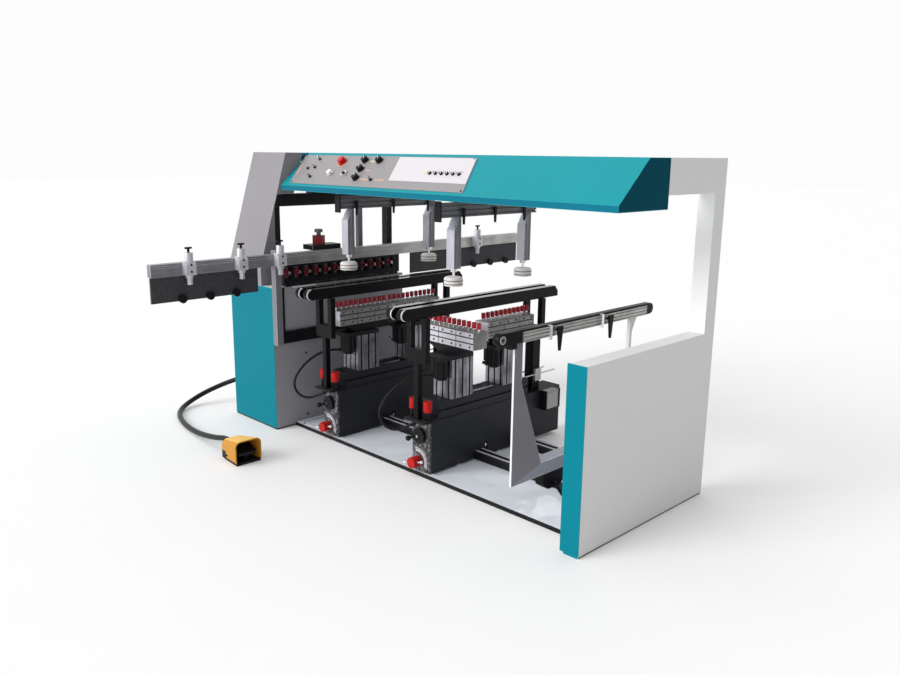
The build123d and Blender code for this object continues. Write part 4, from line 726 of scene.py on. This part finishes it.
def in_columns(row):
    """A test for the walls of the grooves in a carriage's columns."""
    return lambda c, n: abs(n.z) < WALL and abs(c.x - row) < column_half_x - skin_depth and any(
        abs(c.y - y) < column_half_y - skin_depth for y in head_places.values())


rams = [("black_plastic", within(y=between(y - ram_reach, y - column_half_y))) for y in head_places.values()]
# The case's grooves are painted dark, painted shade in the recesses.
grooves = [("groove", within(z=between(*groove))) for groove in case_grooves]
for c, row in rows.items():
    # The walls of the column's grooves are painted dark, painted shade in the recesses.
    dress(f"lift_columns_{c}", "alloy_z", ("groove", in_columns(row)), *rams)
    for place, y in head_places.items():
        hanging_motor = within(y=below(y - column_half_y), z=between(motor_foot, lift_foot))
        # The lift plate is painted near-black, painted shade.
        dress(f"lift_{place}_{c}", "lift_shade_black", ("chrome", within(z=below(lift_foot))),
              ("black_plastic", hanging_motor))
        # The case's faces that look to the front are painted pale, a painted highlight.
        dress(f"head_{place}_{c}", "cast_alloy",
              ("alloy_white", looks("y", -1, z=across(case_foot, case_top))), *grooves,
              ("black", within(z=below(case_foot))))
        dress(f"chucks_{place}_{c}", "chuck_red", ("chrome", within(z=below(neck_top))))
print("solids dressed:", len(dressed), "of", len(nodes))

# %% [markdown]
# Overhead, each presser is a grooved beam with two pale cylinders, black clamp levers and cream pads; the
# cylinders' right-hand faces and groove walls are painted darker as shade. At the right stands a third
# support: a grey gusset with its front edge painted lighter as a highlight, a drawn rail and a black strip.
# The foot pedal has a yellow guard over a black base, its top painted lighter as a highlight. The same
# kinds of test serve again.

# %% Pressers, third support and pedal
presser_rows = {1: -0.520, 2: 0.214}
beam_front, beam_top = -0.224, 1.260                # an end plate before it, a trolley above it
cylinder_half, cylinder_foot, cylinder_top = 0.025, 0.960, 1.195
cylinder_z = between(cylinder_foot, cylinder_top)
groove_start, front_cosine = 0.0005, 0.99           # how deep a groove's walls start, and what looks ahead
lever_foot, lever_reach = 1.1, 0.1
pad_top = 0.922                                     # the rods stand on it
foot_front, foot_top = -0.242, 0.23                 # the support's foot beam
gusset_front = -0.428
stay_y, stay_foot = (0.3, 0.5), 0.228
rail_face, strip_face = 0.875, 0.870                # clamps and a nose ring stand out past these
nose_at, nose_reach = Vector((0.873, -0.513, 0.790)), 0.019
pedal_base_top, pedal_left = 0.012, -0.616
nose_y = (nose_at.y - nose_reach, nose_at.y + nose_reach)
nose_ring = within(x=(strip_face + HAIR, nose_at.x + HAIR), y=nose_y)
pedal_box = within(x=(-0.62, -0.594), y=(-0.876, -0.776), z=below(0.048))


def in_cylinder(row):
    """A test for the walls of the grooves in a presser's cylinders, without the front and the back."""
    half = cylinder_half - groove_start
    inside = within(x=(row - half, row + half), z=cylinder_z)
    return both(inside, lambda c, n: abs(n.z) < WALL and abs(n.y) < front_cosine)


# The cylinders' right-hand faces get a darker alloy and their groove walls a dark paint: painted shade.
for c, row in presser_rows.items():
    dress(f"presser_beam_{c}", "rail_dark", ("black", within(y=across(-FAR, beam_front))),
          ("black", within(z=above(beam_top))))
    dress(f"presser_cylinders_{c}", "cylinder_front",
          ("cylinder_shaded_side", looks("x", 1, z=cylinder_z)),
          ("groove", in_cylinder(row)), ("chrome", within(z=below(cylinder_foot))),
          ("black_plastic", within(x=between(row + cylinder_half, row + lever_reach), z=(lever_foot, FAR))))
    dress(f"presser_pads_{c}", "cream", ("chrome", within(z=above(pad_top))))
# The gusset's front edge gets the light grey, a painted highlight.
dress("support_stand", "gusset_grey", ("foot_grey", within(y=across(foot_front, FAR), z=(0, foot_top))),
      ("light_grey", within(y=across(gusset_front, gusset_front))),
      ("light_grey", within(y=stay_y, z=above(stay_foot))))
dress("support_rail", "alloy_y", ("chrome", within(x=above(rail_face))))
dress("support_strip", "bar_black", ("mid_grey", nose_ring))
# The pedal guard's upward faces get a lighter yellow, a painted highlight.
dress("pedal_guard", "yellow", ("yellow_lit_top", looks("z", 1)),
      ("black_plastic", within(z=across(-FAR, pedal_base_top))),
      ("black_plastic", within(x=below(pedal_left))), ("black_plastic", pedal_box))
dress("pedal_treadle", "black_plastic")
print("solids dressed:", len(dressed), "of", len(nodes), "as the three hoses get curves of their own")

# %% [markdown]
# Sheet and machined edges are never quite sharp: they are folded, broken with a file or rubbed by hands.
# The solids could be rounded when they are measured out, at the cost of many more faces; a Weld modifier
# that joins the facets and a Bevel modifier that rounds the edges by a millimetre or two can still be
# changed later. The round gets a slot of its own, whose finish is lighter than the face as a painted
# highlight along the edge, with paint rubbed through in patches there and nowhere else.

# %% Softened edges, worn and with painted highlights
weld_reach = 0.00002
round_above = math.radians(50)
sheet_round, cut_round, drawn_round = 0.0015, 0.0012, 0.0010


def soften(width, edge, *names):
    """Round the edges of solids and give the rounds their own finish, a painted edge highlight with rubbed
    patches.
    """
    for name in names:
        piece = nodes[name]
        weld = piece.modifiers.new("weld", "WELD")
        weld.merge_threshold = weld_reach
        bevel = piece.modifiers.new("soft_edges", "BEVEL")
        bevel.width = width
        bevel.segments = 2
        bevel.limit_method = "ANGLE"
        bevel.angle_limit = round_above
        bevel.harden_normals = True
        piece.data.materials.append(finish[edge])
        bevel.material = len(piece.data.materials) - 1


# The rounds get lighter finishes, painted highlights along the edges, with rubbed patches.
soften(sheet_round, "highlit_worn_grey", "right_end_frame", "support_stand")
soften(sheet_round, "highlit_worn_teal", "hood", "front_covers")
soften(sheet_round, "highlit_worn_warm", "column_cover")
soften(cut_round, "highlit_worn_black", "upper_frame", "side_frame", "fence_faces", "support_strip")
for c in rows:
    soften(sheet_round, "highlit_worn_black", f"carriage_{c}", f"work_bars_{c}")
    soften(cut_round, "highlit_worn_alloy", f"head_front_{c}", f"head_rear_{c}", f"presser_cylinders_{c}")
soften(cut_round, "highlit_worn_alloy", "stop_bodies")
soften(drawn_round, "highlit_worn_alloy", "fence_beam")
print("softened:", sum(1 for piece in nodes.values() if "soft_edges" in piece.modifiers))

# %% [markdown]
# Screws, rings, pointers and films are too small to be solids of the frame. They could come from Blender's
# ready-made shapes; mesh code is shorter for many like pieces. A lathe turns a profile about an axis, a
# tile is a thin plate with round corners, and a band is a piece of a flat ring. Like fittings of one body
# go into one mesh, which rides on that body.

# %% Shaping helpers
merge_reach = 0.00001
smooth_below = math.radians(35)
corner_steps = 3                 # straight edges in a round corner
fittings = []


def facing(place, way):
    """A matrix that turns a piece's own Z axis along a direction, with its Y axis upwards."""
    return Matrix.Translation(place) @ Vector(way).to_track_quat("Z", "Y").to_matrix().to_4x4()


def skin(shape, rings):
    """Join closed rings of vertices with faces; a ring of one vertex makes a point."""
    count = max(len(ring) for ring in rings)
    for low, high in zip(rings, rings[1:]):
        for i in range(count):
            j = (i + 1) % count
            corners = [low[i % len(low)], low[j % len(low)], high[j % len(high)], high[i % len(high)]]
            shape.faces.new(list(dict.fromkeys(corners)))


def lathe(shape, at, profile, sides=14):
    """Turn pairs of radius and height about an axis."""
    turns = [2 * math.pi * i / sides for i in range(sides)]
    rings = []
    for radius, height in profile:
        ring = [(radius * math.cos(a), radius * math.sin(a), height) for a in turns]
        rings.append([shape.verts.new(at @ Vector(v)) for v in (ring if radius else ring[:1])])
    skin(shape, rings)


def tile(shape, at, length, width, thick, corner):
    """A thin plate with round corners, raised on its own face."""
    outline = []
    for k, (sx, sy) in enumerate(((1, 1), (-1, 1), (-1, -1), (1, -1))):
        for step in range(corner_steps + 1):
            a = math.pi / 2 * (k + step / corner_steps)
            outline.append((sx * (length / 2 - corner) + corner * math.cos(a),
                            sy * (width / 2 - corner) + corner * math.sin(a)))
    rings = [[shape.verts.new(at @ Vector((x, y, z))) for x, y in outline] for z in (0, thick)]
    skin(shape, rings)
    shape.faces.new(rings[0])
    shape.faces.new(rings[1])


def band(shape, at, inner, outer, thick, start=0, end=360, steps=36):
    """A flat ring, or the piece of it between two angles."""
    square = ((inner, 0), (outer, 0), (outer, thick), (inner, thick))
    rings = []
    for i in range(steps + 1):
        a = math.radians(start + (end - start) * i / steps)
        places = [(r * math.cos(a), r * math.sin(a), z) for r, z in square]
        rings.append([shape.verts.new(at @ Vector(place)) for place in places])
    skin(shape, rings)
    if end - start < 360:
        shape.faces.new(rings[0])
        shape.faces.new(rings[-1])


def socket_screw(radius, height):
    """The profile of a cap screw with its socket, sunk a little so that no gap shows under it."""
    foot = -0.0006
    floor = 0.4 * height
    return ((0, foot), (radius, foot), (radius, 0.8 * height), (0.85 * radius, height),
            (0.52 * radius, height), (0.46 * radius, floor), (0, floor))


def screws(shape, places, way, radius, height):
    """Cap screws at several places, all looking the same way."""
    for place in places:
        lathe(shape, facing(place, way), socket_screw(radius, height))


def keep(name, shape, look, body):
    """Turn a finished shape into a piece that rides on a body."""
    bmesh.ops.remove_doubles(shape, verts=shape.verts, dist=merge_reach)
    bmesh.ops.recalc_face_normals(shape, faces=shape.faces)
    mesh = bpy.data.meshes.new(name)
    shape.to_mesh(mesh)
    shape.free()
    mesh.materials.append(finish[look])
    mesh.polygons.foreach_set("use_smooth", [True] * len(mesh.polygons))
    mesh.set_sharp_from_angle(angle=smooth_below)
    piece = bpy.data.objects.new(name, mesh)
    bpy.context.scene.collection.objects.link(piece)
    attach(piece, body)
    fittings.append(name)


print("a screw's profile has", len(socket_screw(radius=0.004, height=0.003)), "points")

# %% [markdown]
# The control panel's locks have key bows in them, and its knobs and selectors have round caps, each with a
# pale line on top. A bow is a thin tile set on edge; a cap is turned on the lathe from its profile. They
# lie on the hood's slope, in its own coordinates, and a selector's cap turns with the selector.

# %% Keys and knob caps
key_places = ((0.093, 0.196), (0.056, 0.127), (0.109, 0.136), (0.136, 0.067), (0.629, 0.065))
key_middle = 0.013               # above the panel's face
first_key, next_key = 25, 40     # degrees
cap_profile = ((0, 0.0002), (0.0190, 0.0002), (0.0185, 0.0040), (0.0175, 0.0046), (0.0170, 0.0205),
               (0.0160, 0.0218), (0, 0.0222))
cap_gap, line_foot, line_middle = 0.0002, 0.0221, 0.008
line_turn = 0.7                  # radians
turning_knobs = (
    ("knob_caps", "frame", ((0.494, 0.132), (0.512, 0.071))),
    ("selector_cap_1", "selector_1", ((0.475, 0.193),)),
    ("selector_cap_2", "selector_2", ((0.583, 0.194),)),
)


def at_slope(x, up, out, turn=0.0):
    """A matrix for a piece that lies on the slope, turned about the slope's normal."""
    return facing(on_slope(x, up, out), slope_out) @ Matrix.Rotation(turn, 4, "Z")


keys = bmesh.new()
for i, (x, up) in enumerate(key_places):
    turned = at_slope(x, up, panel_face + key_middle, math.radians(first_key + next_key * i))
    on_edge = turned @ Matrix.Rotation(math.radians(90), 4, "Y")
    tile(keys, on_edge, length=0.024, width=0.015, thick=0.003, corner=0.006)
keep("key_bows", keys, "steel", "frame")
for name, body, spots in turning_knobs:
    caps = bmesh.new()
    lines = bmesh.new()
    for x, up in spots:
        lathe(caps, at_slope(x, up, panel_face + cap_gap), cap_profile, sides=28)
        off_middle = Matrix.Translation((0, line_middle, 0))
        on_cap = at_slope(x, up, panel_face + line_foot, line_turn) @ off_middle
        tile(lines, on_cap, length=0.003, width=0.014, thick=0.0006, corner=0.001)
    keep(name, caps, "black_plastic", body)
    keep(name.replace("cap", "line"), lines, "white", body)
print("fittings so far:", len(fittings))

# %% [markdown]
# Six small dials stand in a row on the white inset, each with three ticks and a pale line, and the bright
# button has a dark cap. Plain coloured films and a pale ring set off the controls, and a cap screw holds
# each corner. The films could be a pattern in the panel's paint; thin tiles keep their edges sharp.

# %% Dials, films and screws of the panel
first_dial, dial_pitch, dial_up = 0.995, 0.0366, 0.121
dial_places = [(first_dial + dial_pitch * i, dial_up) for i in range(6)]
tick_turns, tick_radius = (-40, 0, 40), 0.017
tick_foot, dial_top, button_top = 0.0014, 0.0095, 0.0099       # above the panel's face
button_cap = ((0, 0), (0.010, 0), (0.009, 0.004), (0, 0.005))
film = 0.0005                                                  # thickness
warm_films = ((0.5735, 0.068, 0.065), (0.686, 0.068, 0.072), (0.549, 0.128, 0.044))
corner_places = ((0.012, 0.026), (1.258, 0.026), (-0.048, 0.221), (1.198, 0.221))
corner_screw = (0.0045, 0.0025)                                # radius and height

marks = bmesh.new()
lathe(marks, at_slope(*button_at, panel_face + button_top), button_cap)
for x, up in dial_places:
    for a in map(math.radians, tick_turns):
        tick_x, tick_up = x + tick_radius * math.sin(a), up + tick_radius * math.cos(a)
        tick = at_slope(tick_x, tick_up, panel_face + tick_foot, -a)
        tile(marks, tick, length=0.0022, width=0.008, thick=0.0004, corner=0.0005)
keep("dial_marks", marks, "black_plastic", "frame")
lines = bmesh.new()
for x, up in dial_places:
    line = at_slope(x, up, panel_face + dial_top, turn=0.5)
    tile(lines, line, length=0.0025, width=0.012, thick=0.0012, corner=0.001)
keep("dial_lines", lines, "white", "frame")
pale = bmesh.new()
band(pale, at_slope(*emergency_at, panel_face), inner=0.0275, outer=0.0315, thick=0.0006)
tile(pale, at_slope(0.530, 0.190, panel_face), length=0.026, width=0.012, thick=film, corner=0.002)
tile(pale, at_slope(0.964, 0.125, inset_face), length=0.020, width=0.018, thick=film, corner=0.002)
keep("pale_films", pale, "pale_yellow", "frame")
warm = bmesh.new()
for x, up, length in warm_films:
    tile(warm, at_slope(x, up, panel_face), length, width=0.007, thick=film, corner=0.001)
along_edge = at_slope(-0.0145, 0.130, panel_face, math.radians(107))
tile(warm, along_edge, length=0.105, width=0.009, thick=film, corner=0.002)
keep("warm_films", warm, "peach", "frame")
corners = bmesh.new()
screws(corners, [on_slope(x, up, panel_face) for x, up in corner_places], slope_out, *corner_screw)
keep("panel_screws", corners, "groove", "frame")
print("fittings so far:", len(fittings))

# %% [markdown]
# Each carriage has pale bands on the noses of its bars, painted highlights where the round noses catch the
# light, cap screws on its front plate, ground strips along its bed, and a graduated arc with plain ticks
# round its lock knob. Ticks could be a striped texture; tiles turned about the lock's own axis, as the arc
# is, stay true to it and sharp.

# %% Noses, arcs and strips of the carriages
bar_offset, bar_half = 0.035, 0.017
band_start = bar_half - 0.0055                  # a band stands half a millimetre out of the bar's side
bar_nose = (-0.459, 0.788)                      # Y and Z of the noses' axis
arc_lift, tick_lift = 0.0002, 0.0009
tick_count, first_tick, tick_step = 22, -22, 5.8
long_tick, short_tick, tick_end = 0.013, 0.008, 0.064
plate_screws = ((-0.046, 0.258), (0.046, 0.258), (-0.046, 0.150), (0.046, 0.150), (0.046, 0.036))
plate_screw = (0.005, 0.003)                    # radius and height
bed_height, strip_offset, strip_spans = 0.357, 0.036, ((-0.036, 0.124), (0.324, 0.610))

# Pale bands on the bars' noses: painted highlights where the round noses catch the light.
for c, row in rows.items():
    noses = bmesh.new()
    for bar in (row - bar_offset, row + bar_offset):
        side = facing((bar + band_start, *bar_nose), (1, 0, 0))
        band(noses, side, inner=0.0240, outer=0.0275, thick=0.006, start=100, end=255, steps=24)
    keep(f"nose_highlights_{c}", noses, "alloy_white", f"carriage_{c}")
    arc = bmesh.new()
    hub = facing((row + lock_x, plate_face + arc_lift, lock_z), (0, -1, 0))
    band(arc, hub, inner=0.047, outer=0.066, thick=0.001, start=-24, end=104, steps=24)
    keep(f"scale_arc_{c}", arc, "alloy_white", f"carriage_{c}")
    marks = bmesh.new()
    for i in range(tick_count):
        turn = Matrix.Rotation(math.radians(first_tick + tick_step * i), 4, "Z")
        length = short_tick if i % 5 else long_tick
        tick = hub @ turn @ Matrix.Translation((tick_end - length / 2, 0, tick_lift))
        tile(marks, tick, length, width=0.0022, thick=0.0004, corner=0.0005)
    screws(marks, [(row + x, plate_face, z) for x, z in plate_screws], (0, -1, 0), *plate_screw)
    keep(f"plate_marks_{c}", marks, "groove", f"carriage_{c}")
    strips = bmesh.new()
    for x in (row - strip_offset, row + strip_offset):
        for start, end in strip_spans:
            bed = facing((x, (start + end) / 2, bed_height), (0, 0, 1))
            tile(strips, bed, length=0.010, width=end - start, thick=0.005, corner=0.0015)
    keep(f"bed_strips_{c}", strips, "steel", f"carriage_{c}")
print("fittings so far:", len(fittings))

# %% [markdown]
# A gear case is built of three blocks, so dark seams and two rows of cap screws show on both its flanks.
# They could be cut into the case; as a dark mesh that rides on the head they leave the casting as it is.
# The front case of the second carriage stands turned by a quarter, so its flanks look to the front and
# the rear instead of the sides.

# %% Seams and screws of the gear cases
case_half = 0.045
bolt_count, bolt_pitch, bolt_heights = 6, 0.059, (0.618, 0.673)
first_bolt = -bolt_pitch * (bolt_count - 1) / 2
seam_places, seam_middle, seam_sunk = (-0.058, 0.058), 0.644, -0.0003
turned_case = ("front", 2)

for c, row in rows.items():
    for place, y in head_places.items():
        bolts = bmesh.new()
        for side in (-1, 1):
            way = (0, side, 0) if (place, c) == turned_case else (side, 0, 0)
            flank = facing((row, y, 0), way) @ Matrix.Translation((0, 0, case_half))
            for i in range(bolt_count):
                for z in bolt_heights:
                    at = flank @ Matrix.Translation((first_bolt + bolt_pitch * i, z, 0))
                    lathe(bolts, at, socket_screw(radius=0.0045, height=0.003), sides=10)
            for seam in seam_places:
                at = flank @ Matrix.Translation((seam, seam_middle, seam_sunk))
                tile(bolts, at, length=0.003, width=0.077, thick=0.0006, corner=0.001)
        keep(f"case_bolts_{place}_{c}", bolts, "groove", f"head_{place}_{c}")
print("fittings so far:", len(fittings))

# %% [markdown]
# Fittings of the fixed frame: rollers under the front fence face, cap screws in the stops and the sheet
# covers, the small cap at the hood's left end, and a white strip along the edge of the cabinet's top, a
# painted highlight. Rollers and screws are round, so the lathe turns them; the cap and the strip could be
# plain boxes, and are tiles because folded sheet has soft corners.

# %% Rollers, screws, cap and painted highlight of the frame
roller_y, roller_z = (-0.968, -0.823, -0.680), 0.784
roller = ((0, 0), (0.018, 0), (0.020, 0.002), (0.020, 0.016), (0.018, 0.018), (0.006, 0.018),
          (0.005, 0.016), (0, 0.016))
stop_y, stop_z, stop_front = (-0.939, -0.660, -0.434, 1.035), (0.917, 0.950), -0.720
cover_y, cabinet_right = (-0.25, 0.05, 0.35), -0.802
hood_back, hood_screw_z = 0.015, 1.298
hood_screw_x = [-0.80 + 0.24 * i for i in range(8)]
stop_screw, cover_screw = (0.0055, 0.003), (0.006, 0.003)      # radius and height

rollers = bmesh.new()
for y in roller_y:
    lathe(rollers, facing((face_front, y, roller_z), (1, 0, 0)), roller, sides=24)
keep("front_rollers", rollers, "black_plastic", "frame")
stops = bmesh.new()
screws(stops, [(stop_front, y, z) for y in stop_y for z in stop_z], (1, 0, 0), *stop_screw)
keep("stop_screws", stops, "groove", "frame")
covers = bmesh.new()
screws(covers, [(cabinet_right, y, z) for y in cover_y for z in (0.05, 0.40)], (1, 0, 0), *cover_screw)
screws(covers, [(cabinet_left, y, z) for y in cover_y for z in (0.05, 0.72)], (-1, 0, 0), *cover_screw)
screws(covers, [(x, hood_back, hood_screw_z) for x in hood_screw_x], (0, 1, 0), *cover_screw)
keep("cover_screws", covers, "groove", "frame")
cap = bmesh.new()
cap_at = facing((-0.929, -0.068, 1.4255), (0, 0, 1))
tile(cap, cap_at, length=0.056, width=0.164, thick=0.0452, corner=0.004)
keep("hood_end_cap", cap, "teal_lip", "frame")
# A white strip on the cabinet's top edge: a painted highlight.
top_highlight = bmesh.new()
top_highlight_at = facing((cabinet_right, -0.250, 0.771), (1, 0, 0))
tile(top_highlight, top_highlight_at, length=0.150, width=0.010, thick=0.0012, corner=0.002)
keep("cabinet_top_highlight", top_highlight, "white", "frame")
print("fittings so far:", len(fittings))

# %% [markdown]
# The third support's nose has a bright rim and a pivot screw, and each pad has two grooves round it,
# shown as painted shade: a dark band that stands out by a hair. The grooves could be cut into the pads;
# the band reads the same at this size and leaves the solid as it is.

# %% Nose of the support and painted groove shade of the pads
pad_y = {1: (-0.164, 0.403), 2: (-0.126, 0.363)}
groove_z = (0.889, 0.905)

nose_hub = facing(nose_at, (1, 0, 0))
rim = bmesh.new()
band(rim, nose_hub, inner=0.0140, outer=0.0162, thick=0.001, steps=28)
keep("nose_rim", rim, "alloy_white", "support")
pivot = bmesh.new()
lathe(pivot, nose_hub, socket_screw(radius=0.0055, height=0.0025))
keep("nose_pivot", pivot, "groove", "support")
# Dark bands round the pads: painted shade where the grooves are.
for c, row in presser_rows.items():
    grooves = bmesh.new()
    for y in pad_y[c]:
        for z in groove_z:
            band(grooves, facing((row, y, z), (0, 0, 1)), inner=0.0425, outer=0.0444, thick=0.003)
    keep(f"pad_groove_shades_{c}", grooves, "groove", f"presser_pads_{c}")
print("fittings:", len(fittings))

# %% [markdown]
# Three hoses hang free: an air hose in front of each carriage, and the hose from the cabinet to the
# foot pedal. A hose is a fixed length of something springy. It could be simulated; it lies still here, so
# each is one smooth spline through the route's own points, with a round bevel. A spline of order three
# cuts the corners as a hose does.

# %% Hoses
air_route = (
    (-0.05497, -0.21697, 0.4575), (-0.08325, -0.24525, 0.4575), (-0.113, -0.286, 0.446),
    (-0.144, -0.338, 0.414), (-0.164, -0.386, 0.368), (-0.174, -0.424, 0.313),
    (-0.167, -0.431, 0.265), (-0.145, -0.416, 0.227), (-0.112, -0.386, 0.211),
    (-0.08070, -0.35327, 0.22373), (-0.05508, -0.33451, 0.24069),
)
pedal_route = (
    (-1.246, -0.300, 0.170), (-1.306, -0.300, 0.170), (-1.386, -0.330, 0.150), (-1.464, -0.404, 0.108),
    (-1.516, -0.500, 0.062), (-1.510, -0.600, 0.026), (-1.446, -0.685, 0.014), (-1.342, -0.745, 0.015),
    (-1.212, -0.786, 0.014), (-1.076, -0.810, 0.016), (-0.936, -0.823, 0.027), (-0.777, -0.827, 0.051),
    (-0.694, -0.826, 0.072), (-0.632, -0.826, 0.072),
)
air_diameter, air_length = 0.013, 0.517
pedal_diameter, pedal_length = 0.028, 1.429


def hose(name, route, diameter, body, node):
    """A hose along a route."""
    data = bpy.data.curves.new(name, "CURVE")
    data.dimensions = "3D"
    spline = data.splines.new("NURBS")
    spline.points.add(len(route) - 1)
    for point, place in zip(spline.points, route):
        point.co = (*place, 1)
    spline.order_u = 3
    spline.use_endpoint_u = True
    spline.resolution_u = 12
    data.bevel_depth = diameter / 2
    data.bevel_resolution = 5
    data.use_fill_caps = True
    piece = bpy.data.objects.new(name, data)
    bpy.context.scene.collection.objects.link(piece)
    data.materials.append(finish["rubber"])
    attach(piece, body)
    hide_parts(node)


for c, row in rows.items():
    route = [(row + x, y, z) for x, y, z in air_route]
    hose(f"air_line_{c}", route, air_diameter, f"carriage_{c}", f"air_hose_{c}")
hose("pedal_line", pedal_route, pedal_diameter, "frame", "pedal_hose")
print("hoses:", [curve.name for curve in bpy.data.curves])

# %% [markdown]
# The room is a pale floor that runs out of sight. The sky is brighter above and at the front left, so
# the right-hand faces fall into soft shade, and one soft sun adds direction. Area lamps would light the
# floor unevenly. The backdrop itself is plain white: a Light Path node shows it to the camera and keeps
# it out of the lighting.

# %% Floor and light
floor_half = 40.0
floor_glow = 0.07
sky_level, sky_slant = 0.46, (-0.42, -0.10, 0.58)
sun_way, sun_disc, sun_strength = (0.30, 0.84, -0.45), math.radians(35), 2.2
white, backdrop_white = (1, 1, 1, 1), (0.98, 0.98, 0.98, 1)


def pale_floor():
    """A wide plain floor under the machine."""
    data = bpy.data.meshes.new("floor")
    corners = [(floor_half * x, floor_half * y, 0) for x, y in ((-1, -1), (1, -1), (1, 1), (-1, 1))]
    data.from_pydata(corners, [], [(0, 1, 2, 3)])
    floor = bpy.data.objects.new("floor", data)
    bpy.context.scene.collection.objects.link(floor)
    material = sprayed("floor_pale", "#E8E8E8", drift=0.004, peel=60.0, gloss=0.7, bump=0.0)
    shader = material.node_tree.nodes["Principled BSDF"]
    shader.inputs["Emission Color"].default_value = white
    shader.inputs["Emission Strength"].default_value = floor_glow
    data.materials.append(material)


def soft_sun():
    """A distant lamp with a wide disc, so the floor is lit evenly and shadows have soft edges."""
    data = bpy.data.lights.new("key", "SUN")
    data.angle = sun_disc
    data.energy = sun_strength
    lamp = bpy.data.objects.new("key", data)
    lamp.rotation_euler = Vector(sun_way).to_track_quat("-Z", "Y").to_euler()
    bpy.context.scene.collection.objects.link(lamp)


def studio_sky():
    """A sky that lights by direction, and a white backdrop for the camera."""
    world = bpy.data.worlds.new("studio")
    world.use_nodes = True
    tree = world.node_tree
    light = tree.nodes["Background"]
    light.inputs["Color"].default_value = white
    way = tree.nodes.new("ShaderNodeTexCoord").outputs["Generated"]
    lean = tree.nodes.new("ShaderNodeVectorMath")
    lean.operation = "DOT_PRODUCT"
    lean.inputs[1].default_value = sky_slant
    tree.links.new(way, lean.inputs[0])
    add = tree.nodes.new("ShaderNodeMath")
    add.inputs[1].default_value = sky_level
    tree.links.new(lean.outputs["Value"], add.inputs[0])
    tree.links.new(add.outputs[0], light.inputs["Strength"])
    backdrop = tree.nodes.new("ShaderNodeBackground")
    backdrop.inputs["Color"].default_value = backdrop_white
    mix = tree.nodes.new("ShaderNodeMixShader")
    tree.links.new(tree.nodes.new("ShaderNodeLightPath").outputs["Is Camera Ray"], mix.inputs[0])
    tree.links.new(light.outputs[0], mix.inputs[1])
    tree.links.new(backdrop.outputs[0], mix.inputs[2])
    tree.links.new(mix.outputs[0], tree.nodes["World Output"].inputs["Surface"])
    bpy.context.scene.world = world


pale_floor()
studio_sky()
soft_sun()
bpy.context.scene.view_settings.view_transform = "Standard"
bpy.context.scene.view_settings.look = "None"
print("lamps:", len(bpy.data.lights), "under the sky", bpy.context.scene.world.name)
